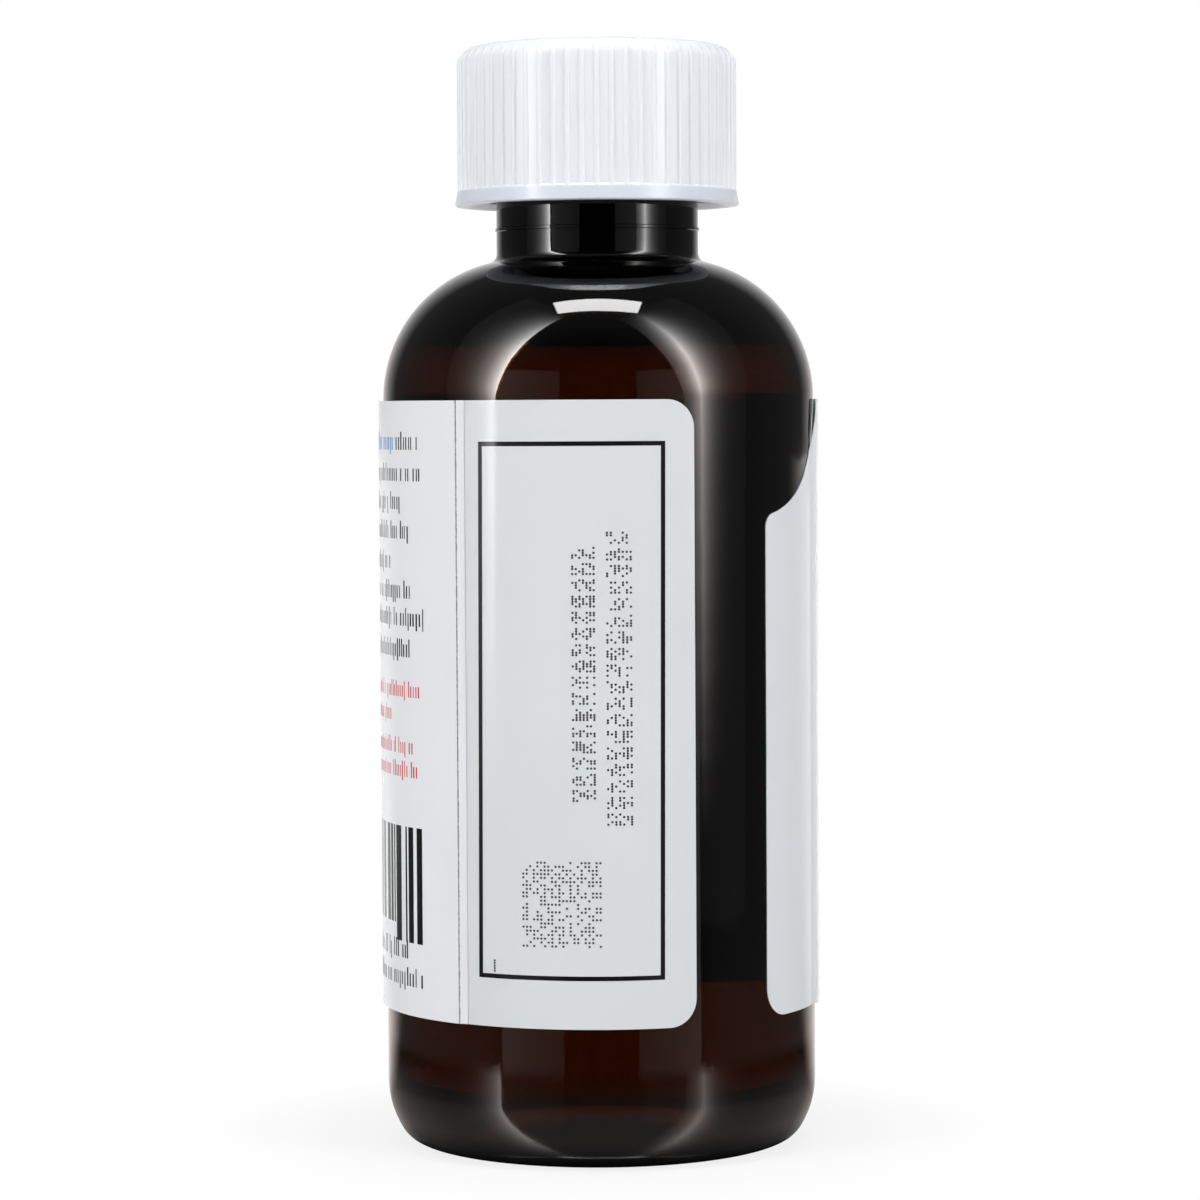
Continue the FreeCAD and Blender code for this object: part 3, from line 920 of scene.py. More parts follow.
@dataclass
class Label:
    """The wrap-round label: bottom sheet, folded leaflet, cover with its pull tail, and the print."""

    bottom: float = 14.6
    top: float = 77.6
    base_radius: float = 22.53
    base_thickness: float = 0.1
    base_start: float = 76.3
    base_edge: float = 25.0
    base_corner: float = 2.9
    leaflet_radius: float = 22.66
    leaflet_thickness: float = 0.23
    leaflet_start: float = 86.0
    fold: float = 321.3
    fold_ramp: float = 1.1
    fold_land: float = 1.1
    cover_radius: float = 22.92
    cover_thickness: float = 0.08
    tail_start: float = 48.4
    tail_ramp: float = 4.0
    tail_hollow: float = 7.0
    scoop_radius: float = 13.8
    scoop_lead: float = 1.7
    scoop_rise: float = 1.9
    tail_foot_corner: float = 1.5
    tail_lower_corner: float = 3.0
    ramp_ease: float = 0.25  # share of a ramp that is smooth rather than straight
    ink_rise: float = 0.008
    rows: int = 22
    even_step: float = 1.1  # degrees between stations
    close_from: float = 0.02  # degrees from a mark to the nearest and the farthest of its own stations
    close_to: float = 8.0
    close_count: int = 26

    def sampled(self, first: float, last: float, marks: tuple[float, ...]) -> Array:
        """Angles from first to last, closer together near each mark.

        Args:
            first: where the sheet starts.
            last: where it ends.
            marks: angles near which the sheet bends or its edge turns.

        Returns:
            The angles, in order.
        """
        even = np.linspace(first, last, math.ceil((last - first) / self.even_step) + 1)
        near = np.concatenate([[0.0], np.geomspace(self.close_from, self.close_to, self.close_count)])
        close = np.concatenate([mark + side * near for mark in marks for side in (-1, 1)])
        angles = np.unique(np.round(np.concatenate([even, close, marks]), 4))
        return angles[(angles >= first) & (angles <= last)]

    def sheet(self, angle: Array, radius: Array, thickness: float, low: Array, high: Array) -> Surface:
        """A sheet carried round the bottle: at each angle, a thin upright section between two edges.

        Args:
            angle: stations.
            radius: of the sheet's inside, per station.
            thickness: of the sheet.
            low: the lower edge, per station.
            high: the upper edge, per station.

        Returns:
            A closed surface.
        """
        share = np.linspace(0, 1, self.rows)
        height = low[:, None] + share * (high - low)[:, None]
        outside = polar((radius + thickness)[:, None], angle[:, None], height)
        inside = polar(radius[:, None], angle[:, None], height[:, ::-1])
        return carried_strip(np.concatenate([outside, inside], axis=1))

    def ramped(self, angle: Array, stations: tuple[Pair, ...]) -> Array:
        """Radii through stations, with ramps that are straight but for slightly eased ends.

        Args:
            angle: where the radii are wanted.
            stations: pairs of angle and radius, in order.

        Returns:
            One radius per angle.
        """
        at, radius = np.array(stations).T
        leg = np.clip(np.searchsorted(at, angle, side="right") - 1, 0, len(at) - 2)
        share = (angle - at[leg]) / (at[leg + 1] - at[leg])
        eased = (1 - self.ramp_ease) * share + self.ramp_ease * smooth_step(share)
        return radius[leg] + eased * (radius[leg + 1] - radius[leg])

    def corner_drop(self, away: Array, radius: float) -> Array:
        """How far a round corner takes an edge back, at d from the sheet's end: r - sqrt(r^2 - (r - d)^2)."""
        short = radius - np.clip(away, 0, radius)
        return radius - np.sqrt(radius**2 - short**2)

    def scooped(self, away: Array) -> Array:
        """The upper edge where the tail starts: a round foot that runs into a hollow arc.

        With d the distance from the tail's edge, the foot is foot_z + sqrt(r^2 - (r - d)^2), and from
        where the two circles touch the arc is centre_z - sqrt(R^2 - (d + lead)^2), up to the top.

        Args:
            away: distances from the tail's edge, in the plane that faces it.

        Returns:
            Heights, no higher than the label's top.
        """
        corner = self.tail_foot_corner
        centre = self.top + self.scoop_rise
        reach = self.scoop_radius + corner
        across = corner + self.scoop_lead
        foot = centre - math.sqrt(reach**2 - across**2)
        touch = corner * (1 - across / reach)
        round_foot = foot + np.sqrt(np.maximum(corner**2 - (corner - away) ** 2, 0))
        hollow = centre - np.sqrt(np.maximum(self.scoop_radius**2 - (away + self.scoop_lead) ** 2, 0))
        return np.minimum(np.where(away < touch, round_foot, hollow), self.top)

    def scoop_end(self, radius: float) -> float:
        """Angle near which the scoop reaches the top, on a sheet of a radius."""
        return self.tail_start + math.degrees(math.asin((self.scoop_radius - self.scoop_lead) / radius))

    def from_tail(self, angle: Array, radius: Array | float) -> Array:
        """Distances from the tail's edge in the plane that faces it, past its quarter turn the largest."""
        return radius * np.sin(np.radians(np.minimum(angle - self.tail_start, 90)))

    def build_base(self) -> Surface:
        """The bottom sheet: round corners below and at the free end, the tail's scoop where it starts.

        Returns:
            A closed surface.
        """
        end = 360 + self.base_edge
        angle = self.sampled(self.base_start, end, (self.base_start, self.scoop_end(self.base_radius), end))
        outer = self.base_radius + self.base_thickness
        to_end = np.radians(end - angle) * outer
        away = np.minimum(np.radians(angle - self.base_start) * outer, to_end)
        low = self.bottom + self.corner_drop(away, self.base_corner)
        high = self.scooped(self.from_tail(angle, outer)) - self.corner_drop(to_end, self.base_corner)
        return self.sheet(angle, np.full(len(angle), self.base_radius), self.base_thickness, low, high)

    def build_leaflet(self) -> Surface:
        """The folded leaflet, a plain band round the back.

        Returns:
            A closed surface.
        """
        angle = self.sampled(self.leaflet_start, self.fold, (self.leaflet_start, self.fold))
        sizes = (self.leaflet_radius, self.bottom, self.top)
        radius, low, high = (np.full(len(angle), size) for size in sizes)
        return self.sheet(angle, radius, self.leaflet_thickness, low, high)

    def build_cover(self) -> tuple[Surface, dict[str, Array]]:
        """The cover: over the leaflet, down past the fold, and out in a tail with a scooped corner.

        Returns:
            The surface, and per point its distance round from the fold and how far paper backs it.
        """
        foot = self.fold + self.fold_ramp
        end = foot + self.fold_land
        lifted = self.leaflet_start - self.tail_hollow
        rise = lifted - self.tail_ramp
        bends = (self.tail_start, rise, lifted, self.scoop_end(self.cover_radius), self.fold, foot, end)
        angle = self.sampled(self.tail_start, end, bends)
        radius = self.ramped(
            angle,
            (
                (self.tail_start, self.base_radius),
                (rise, self.base_radius),
                (lifted, self.cover_radius),
                (self.fold, self.cover_radius),
                (foot, self.leaflet_radius),
                (end, self.leaflet_radius),
            ),
        )
        away = self.from_tail(angle, radius)
        high = self.scooped(away)
        low = self.bottom + self.corner_drop(away, self.tail_lower_corner)
        # fold_distance places the painted shade along the fold, and backing greys the sheet over the bare
        # bottle
        marks = {
            "fold_distance": np.abs(np.radians(angle - self.fold) * self.cover_radius),
            "backing": smooth_step((angle - rise) / self.tail_ramp),
        }
        marks = {name: np.repeat(values, 2 * self.rows).astype(np.float32) for name, values in marks.items()}
        return self.sheet(angle, radius, self.cover_thickness, low, high), marks

    def build(self) -> None:
        """Makes the three sheets and the print."""
        make_piece("base_sheet", self.build_base(), BASE_FILM, Body.BOTTLE, ("base_label",))
        make_piece(
            "leaflet_pack",
            self.build_leaflet(),
            LEAFLET_PAPER,
            Body.BOTTLE,
            ("folded_leaflet",),
        )
        surface, marks = self.build_cover()
        cover = make_piece("cover_sheet", surface, COVER_FILM, Body.BOTTLE, ("cover_label",))
        for name, values in marks.items():
            cover.data.attributes.new(name, "FLOAT", "POINT").data.foreach_set("value", values)
        on_base = self.base_radius + self.base_thickness
        on_cover = self.cover_radius + self.cover_thickness
        Print(on_base, on_cover, self.ink_rise).build()


@dataclass
class Print:
    """Plain, wordless print: a black frame with jet-printed dots, and rows of strokes in place of text."""

    base: float
    cover: float
    rise: float
    # The frame, with a slight lean in degrees per millimetre of height
    frame_left: float = -32.6
    frame_right: float = 16.75
    frame_low: float = 19.5
    frame_high: float = 73.46
    frame_stroke: float = 0.46
    frame_steps: int = 48
    lean: float = 0.0138
    # Jet-printed dots: a tick, two upright rows of cells and a square
    dot: float = 0.13
    dot_share: float = 0.5  # share of the places that have a dot
    tick: tuple[float, float, float, int] = (-28.3, 20.25, 0.26, 5)  # angle, foot, pitch, dots
    # Per row of cells: first and last angle, low, high and how many cells
    cell_rows: tuple[tuple[float, float, float, float, int], ...] = (
        (-6.8, -1.4, 37.4, 63.3, 16),
        (2.0, 8.0, 35.0, 64.8, 18),
    )
    cell_dots: tuple[int, int] = (5, 7)
    cell_lead: float = 0.12  # share of a cell before its first dot
    cell_fill: float = 0.76  # share of it that its dots fill
    square: Span = (-20.1, 20.0, 22.95, 8.4)  # first angle, angle across, foot, height
    square_dots: tuple[int, int] = (22, 23)
    # Strokes, as shares of a small letter's height, and how often each kind comes
    stroke_count: int = 130
    stroke_wide: Pair = (0.13, 0.22)
    stroke_gap: Pair = (0.16, 0.3)
    word_gap: float = 0.65
    word_end: float = 0.12
    tall: float = 1.42
    tall_share: float = 0.3
    deep: float = 0.35
    deep_share: float = 0.1
    # The side panel: rows by the angle where each ends and a height, which is the middle of the longer rows
    margin: float = -118.0
    black_rows: tuple[Pair, ...] = (
        (-52.8, 73.3),
        (-51.6, 70.1),
        (-60.4, 67.2),
        (-57.4, 64.2),
        (-68.7, 61.1),
        (-56.6, 58.1),
        (-50.3, 55.3),
        (-56.8, 52.1),
    )
    black_size: float = 1.3
    black_foot: float = 0.7  # from a row's middle down to its foot
    blue_end: float = -66.0  # the first row is blue up to here
    red_rows: tuple[Pair, ...] = ((-52.3, 47.9), (-68.9, 45.4), (-55.7, 42.1), (-53.5, 39.7))
    red_size: float = 1.15
    red_foot: float = 0.6
    foot_rows: tuple[Pair, ...] = ((-59.0, 20.4), (-51.6, 17.6))
    foot_size: float = 1.35
    bar_unit: float = 0.33
    bar_most: int = 4  # units of the widest bar or gap
    bar_count: int = 38
    bar_start: float = -51.5
    bar_low: float = 23.9
    bar_high: float = 34.0
    long_bars: int = 4
    long_bar_low: float = 22.1
    # The far side
    far_margin: float = -262.0
    far_rows: tuple[Pair, ...] = ((-150.0, 35.0), (-150.0, 31.5), (-150.0, 28.0))
    bands: tuple[Span, ...] = ((-268.0, -144.0, 62.0, 72.0), (-268.0, -144.0, 18.5, 22.0))
    band_steps: int = 120
    headings: tuple[Span, ...] = ((-250.0, -162.0, 53.0, 57.0), (-240.0, -172.0, 46.0, 49.0))
    heading_steps: int = 90

    def tiles(self, radius: float, spans: Array, steps: int = 2, lean: float = 0.0) -> Surface:
        """Thin blocks of ink on a cylinder, as curved_tiles makes them, leaning about the frame's middle."""
        middle = (self.frame_low + self.frame_high) / 2
        return curved_tiles(radius - self.rise, radius + self.rise, spans, steps, lean, middle)

    def build_frame(self) -> Surface:
        """The frame: two long strokes round the bottle and two upright strokes.

        Returns:
            The strokes as one surface.
        """
        stroke = self.frame_stroke
        wide = math.degrees(stroke / self.base)
        left, right, low, high = self.frame_left, self.frame_right, self.frame_low, self.frame_high
        flat = np.array([[left, right, low, low + stroke], [left, right, high - stroke, high]])
        upright = np.array([[left, left + wide, low, high], [right - wide, right, low, high]])
        strokes = ((flat, self.frame_steps), (upright, 2))
        return joined([self.tiles(self.base, spans, steps, self.lean) for spans, steps in strokes])

    def build_dots(self, random: np.random.Generator) -> Surface:
        """Jet-printed dots: a register tick, two upright rows of dot cells and a square of scattered dots.

        Args:
            random: seeded source.

        Returns:
            The dots as one surface.
        """
        angle, foot, pitch, count = self.tick
        angles, heights = [np.full(count, angle)], [foot + pitch * np.arange(count)]
        along, across = self.cell_dots
        for first, last, low, high, cells in self.cell_rows:
            pitch = (high - low) / cells
            shown = random.random((cells, along, across)) < self.dot_share
            cell, step, row = np.nonzero(shown)
            heights.append(low + pitch * (cell + self.cell_lead + self.cell_fill * step / along))
            angles.append(first + (last - first) * row / (across - 1))
        first, wide, foot, tall = self.square
        columns, rows = self.square_dots
        column, row = np.nonzero(random.random((columns, rows)) < self.dot_share)
        angles.append(first + wide * column / (columns - 1))
        heights.append(foot + tall * row / (rows - 1))
        return ink_dots(self.base, self.rise, np.concatenate(angles), np.concatenate(heights), self.dot)

    def word_row(
        self, random: np.random.Generator, first: float, last: float, height: float, size: float
    ) -> Array:
        """A row of upright strokes as fine as text, in groups the size of words, that ends at the last angle.

        Args:
            random: seeded source.
            first: where the row may start.
            last: where it ends.
            height: its foot.
            size: height of a small letter.

        Returns:
            One row of first angle, last angle, low and high per stroke.
        """
        count = self.stroke_count
        wide = random.uniform(*self.stroke_wide, count) * size
        ends_word = random.random(count) < self.word_end
        gap = np.where(ends_word, self.word_gap, random.uniform(*self.stroke_gap, count)) * size
        ends = last - np.degrees((np.cumsum(wide + gap) - wide) / self.cover)
        starts = ends - np.degrees(wide / self.cover)
        tall = np.where(random.random(count) < self.tall_share, self.tall * size, size)
        deep = np.where(random.random(count) < self.deep_share, self.deep * size, 0.0)
        spans = np.stack([starts, ends, height - deep, height + tall], axis=-1)
        return spans[starts > first]

    def build_panel(self, random: np.random.Generator) -> dict[str, Surface]:
        """The cover's side panel and the far side.

        Args:
            random: seeded source.

        Returns:
            One surface per ink.
        """
        rows, small, red, far = (
            [self.word_row(random, margin, end, height - drop, size) for end, height in ends]
            for margin, ends, drop, size in (
                (self.margin, self.black_rows, self.black_foot, self.black_size),
                (self.margin, self.foot_rows, 0.0, self.foot_size),
                (self.margin, self.red_rows, self.red_foot, self.red_size),
                (self.far_margin, self.far_rows, 0.0, self.black_size),
            )
        )
        is_blue = rows[0][:, 1] < self.blue_end
        blue, rows[0] = rows[0][is_blue], rows[0][~is_blue]
        unit = np.degrees(self.bar_unit / self.cover)
        edges = self.bar_start - np.cumsum(random.integers(1, self.bar_most + 1, 2 * self.bar_count) * unit)
        low, high = np.full(self.bar_count, self.bar_low), np.full(self.bar_count, self.bar_high)
        bars = np.stack([edges[1::2], edges[0::2], low, high], axis=-1)
        bars = bars[bars[:, 0] > self.margin]
        bars[: self.long_bars, 2] = self.long_bar_low
        strokes = self.tiles(self.cover, np.concatenate(rows + small + far + [bars]))
        headings = self.tiles(self.cover, np.array(self.headings), self.heading_steps)
        bands = self.tiles(self.cover, np.array(self.bands), self.band_steps)
        return {
            "black": joined([strokes, headings]),
            "blue": joined([self.tiles(self.cover, blue), bands]),
            "red": self.tiles(self.cover, np.concatenate(red)),
        }

    def build(self) -> None:
        """Makes the printed pieces."""
        random = np.random.default_rng(SEED)
        make_piece("frame_print", self.build_frame(), BLACK_INK, Body.BOTTLE)
        make_piece("jet_print", self.build_dots(random), JET_INK, Body.BOTTLE)
        panel = self.build_panel(random)
        make_piece("panel_print_black", panel["black"], BLACK_INK, Body.BOTTLE)
        make_piece("panel_print_blue", panel["blue"], BLUE_INK, Body.BOTTLE)
        make_piece("panel_print_red", panel["red"], RED_INK, Body.BOTTLE)


@dataclass
class Closure:
    """The push-and-turn cap: ribbed outer cap, spring star, and inner cap and liner kept from the frame."""

    bottom: float = 97.84
    height: float = 16.5
    ceiling: float = 113.14
    bore: float = 13.2
    wall: float = 1.15
    top_round: float = 1.7
    ribs: int = 60
    rib_width: float = 0.6
    rib_height: float = 0.22
    rib_fade: float = 50.0  # degrees round the top edge over which the ribs run out
    rim_proud: float = 0.28
    rim_break: float = 0.15
    rim_height: float = 1.5
    rim_ledge: float = 0.2
    bead_proud: float = 0.75
    bead_lead: float = 0.6
    bead_height: float = 0.7
    bead_slope: float = 0.2
    skirt_lead: float = 0.3
    lugs: int = 12
    lug_height: float = 0.7
    lug_width: float = 1.8
    lug_inner: float = 9.0
    lug_length: float = 3.0
    lug_sink: float = 0.05  # how far a lug goes into the ceiling
    star_arms: int = 6
    star_foot: float = 111.19
    star_height: float = 1.9
    star_hub: float = 2.6
    star_root: float = 0.6  # share of the hub's radius at which an arm starts
    star_reach: float = 8.0
    star_pad: float = 1.2
    star_width: float = 1.8
    star_thickness: float = 0.45
    star_keep: float = 0.36  # its height with the cap pushed down, as a share

    @property
    def plain(self) -> float:
        """Radius of the side between the ribs."""
        return self.bore + self.wall

    def rib_angles(self) -> Array:
        """Column angles: close together over each rib, wider in the gaps.

        Returns:
            The angles, once round.
        """
        half = math.degrees(self.rib_width / 2 / self.plain)
        pitch = 360 / self.ribs
        over = half * np.array([-1.0, -0.88, -0.6, -0.25, 0.25, 0.6, 0.88, 1.0])
        between = half + (pitch - 2 * half) * np.array([0.25, 0.5, 0.75])
        return (np.arange(self.ribs)[:, None] * pitch + np.concatenate([over, between])[None]).ravel()

    def rib_radius(self, angle: Array) -> Array:
        """The ribbed side's radius: an arc through each rib's two feet and its crest, over a plain cylinder.

        Args:
            angle: columns.

        Returns:
            One radius per column.
        """
        pitch = 360 / self.ribs
        across = np.radians((angle + pitch / 2) % pitch - pitch / 2) * self.plain
        arc = ((self.rib_width / 2) ** 2 + self.rib_height**2) / (2 * self.rib_height)
        crown = np.sqrt(np.maximum(arc**2 - across**2, 0)) - (arc - self.rib_height)
        return self.plain + np.where(np.abs(across) < self.rib_width / 2, np.maximum(crown, 0), 0)

    def build_cap(self) -> Surface:
        """The outer cap.

        The profile goes from the middle of the ceiling out and down the inside, round the rim, and up the
        outside to the middle of the top. Outside, the radius is the ribs' or the rim's cone, whichever is
        larger, and round the top edge the ribs' height is multiplied by a share that falls smoothly to
        nothing.

        Returns:
            A closed surface with its lugs.
        """
        angle = self.rib_angles()
        plain, skirt = self.plain, self.bore + self.skirt_lead
        top = self.bottom + self.height
        bead = self.bore - self.bead_proud
        bead_low = self.bottom + self.bead_lead
        bead_high = bead_low + self.bead_height
        crest = plain + self.rib_height
        rim = crest + self.rim_proud
        cone = self.bottom + self.rim_height
        inside = (
            Profile()
            .line((0, self.ceiling), (self.bore, self.ceiling), 3)
            .line((self.bore, self.ceiling), (self.bore, bead_high + self.bead_slope), 3)
            .line((self.bore, bead_high + self.bead_slope), (bead, bead_high))
            .line((bead, bead_high), (bead, bead_low))
            .line((bead, bead_low), (skirt, self.bottom))
            .line((skirt, self.bottom), (rim - self.rim_break, self.bottom))
            .points()
        )
        side = (
            Profile()
            .line((rim, self.bottom + self.rim_break), (crest, cone), 4)
            .line((crest, cone), (plain, cone + self.rim_ledge), 2)
            .line((plain, cone + self.rim_ledge), (plain, top - self.top_round), 5)
            .points()
        )
        turn = np.radians(np.linspace(0, 90, 21)[1:])
        crown = np.stack([np.cos(turn) - 1, np.sin(turn) - 1], axis=-1) * self.top_round + [plain, top]
        flat = Profile().line(crown[-1], (0, top), 4).points()[1:]
        ribbed = self.rib_radius(angle)[None, :]
        left = 1 - smooth_step(turn / math.radians(self.rib_fade))[:, None]
        even = np.ones((1, len(angle)))
        radius = np.concatenate(
            [
                inside[:, :1] * even,
                np.maximum(side[:, :1], ribbed),
                crown[:, :1] + (ribbed - plain) * left,
                flat[:, :1] * even,
            ]
        )
        height = np.concatenate([inside[:, 1], side[:, 1], crown[:, 1], flat[:, 1]])
        return joined([lathe(radius, height, angle), self.build_lugs()])

    def build_lugs(self) -> Surface:
        """The lugs under the ceiling, a ring of bent blocks that drive the inner cap.

        Returns:
            All the lugs as one surface.
        """
        half = math.degrees(self.lug_width / 2 / (self.lug_inner + self.lug_length / 2))
        middle = 360 / self.lugs * (np.arange(self.lugs) + 0.5)
        low = np.full(self.lugs, self.ceiling - self.lug_height)
        high = np.full(self.lugs, self.ceiling + self.lug_sink)
        spans = np.stack([middle - half, middle + half, low, high], axis=-1)
        return curved_tiles(self.lug_inner, self.lug_inner + self.lug_length, spans, 4)

    def build_star(self) -> Surface:
        """The spring star: a hub disc and arms that rise in a smooth curve to flat pads.

        Returns:
            Hub and arms as one surface.
        """
        disc = (
            Profile()
            .line((0, 0), (self.star_hub, 0), 2)
            .line((self.star_hub, self.star_thickness), (0, self.star_thickness), 2)
            .points()
        )
        hub = lathe(disc[:, 0], disc[:, 1] + self.star_foot, once_round(48))
        out = np.linspace(self.star_hub * self.star_root, self.star_reach, 26)
        bend = (out - self.star_hub) / (self.star_reach - self.star_pad - self.star_hub)
        low = self.star_foot + (self.star_height - self.star_thickness) * smooth_step(bend)
        half = self.star_width / 2
        side = np.array([half, half, -half, -half])
        lift = np.array([0, self.star_thickness, self.star_thickness, 0])
        height = low[:, None] + lift[None, :]
        loops = np.stack(np.broadcast_arrays(out[:, None], side[None, :], height), axis=-1)
        arm = carried_strip(loops)
        arms = []
        for turn in np.radians(once_round(self.star_arms)):
            cos, sin = math.cos(turn), math.sin(turn)
            spin = np.array([[cos, -sin, 0], [sin, cos, 0], [0, 0, 1]])
            arms.append(Surface(arm.points @ spin.T, arm.blocks))
        return joined([hub] + arms)

    def dress_kept(self, node: str, finish: Finish) -> None:
        """Gives a node that stays its material.

        Args:
            node: the CAD node.
            finish: what it is made of.
        """
        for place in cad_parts[node].material_slots:
            place.material = finish.material()
        log.info("%s: kept from the frame", node)

    def build(self) -> None:
        """Makes the cap and the star and dresses the pieces that stay."""
        cap = self.build_cap()
        make_piece("ribbed_cap", cap, CAP_PLASTIC, Body.OUTER_CAP, ("outer_cap",))
        star = make_piece(
            "spring_arms",
            self.build_star(),
            SPRING_PLASTIC,
            Body.SPRING_STAR,
            ("spring_star",),
        )
        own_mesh(star)
        self.dress_kept("inner_cap", INNER_PLASTIC)
        self.dress_kept("liner", FoamLiner())


# The studio


@dataclass(frozen=True)
class SoftBox:
    """A rectangular lamp that faces the bottle, placed by its direction from it, with its sizes in metres."""

    name: str
    azimuth: float  # from the front towards +X
    elevation: float
    distance: float
    width: float
    height: float
    radiance: float  # at its brightest
    peak: float = 0.0  # where it is brightest, as a share of its width from the edge nearer the front
    inner_loss: float = 0.0  # powers of e lost per width from there towards the front
    outer_loss: float = 0.0  # and away from it
    foot_from: float = -0.2  # share of its height at which it starts to brighten from the bottom
    foot_to: float = -0.1  # and at which it is full; below 0 the foot is as bright as the rest
    head_from: float = 1.1  # share at which it starts to fade towards the top
    head_to: float = 1.2  # and at which it is dark; above 1 the top is as bright as the rest
    glow: float = 0.0  # radiance of its dark parts

    def place(self, target: Vector) -> None:
        """Hangs the lamp; its power is radiance times pi times its area.

        Args:
            target: the point that it faces.
        """
        lamp = bpy.data.lights.new(self.name, "AREA")
        lamp.shape = "RECTANGLE"
        lamp.size = self.width
        lamp.size_y = self.height
        lamp.energy = self.radiance * math.pi * self.width * self.height
        if self.inner_loss or self.outer_loss:
            self.grade(lamp)
        piece = bpy.data.objects.new(self.name, lamp)
        around, up = math.radians(self.azimuth), math.radians(self.elevation)
        away = Vector((math.sin(around) * math.cos(up), -math.cos(around) * math.cos(up), math.sin(up)))
        piece.location = target + away * self.distance
        piece.rotation_euler = away.to_track_quat("Z", "Y").to_euler()
        piece.visible_camera = False
        bpy.context.scene.collection.objects.link(piece)

    def grade(self, lamp: bpy.types.Light) -> None:
        """Grades the lamp.

        Across, it falls by exp(-loss * share of the width) from its peak. Upwards, it fades at the foot and
        the head. What is dark keeps the glow.

        Args:
            lamp: the lamp's data.
        """
        lamp.use_nodes = True
        tree = lamp.node_tree
        tree.nodes.clear()
        spot = add(tree, "NewGeometry").outputs["Parametric"]
        share = add(tree, "SeparateXYZ", None, {"Vector": spot})
        front, back = (0.0, 1.0) if self.azimuth > 0 else (1.0, 0.0)
        powers = []
        for loss in (self.inner_loss, -self.outer_loss):
            span = (share.outputs["X"], front, back, -loss * self.peak, loss * (1 - self.peak))
            powers.append(add(tree, "MapRange", {"clamp": False}, dict(zip(RANGE, span))))
        power = add(tree, "Math", SMALLER, dict(enumerate(powers)))
        across = add(tree, "Math", {"operation": "EXPONENT"}, {0: power})
        ends = [
            add(tree, "MapRange", SMOOTH, dict(zip(RANGE, (share.outputs["Y"], dark, full))))
            for dark, full in ((self.foot_from, self.foot_to), (self.head_to, self.head_from))
        ]
        up = add(tree, "Math", SMALLER, dict(enumerate(ends)))
        glow = self.glow / self.radiance
        level = add(tree, "Math", {"operation": "MULTIPLY_ADD"}, {0: across, 1: up, 2: glow})
        light = add(tree, "Emission", None, {"Strength": level})
        add(tree, "OutputLight", None, {"Surface": light})


# How both side lamps brighten from the foot and fade to the head
SIDE_ENDS = {"foot_to": 0.31, "head_from": 0.5, "head_to": 1.0, "glow": 0.045}


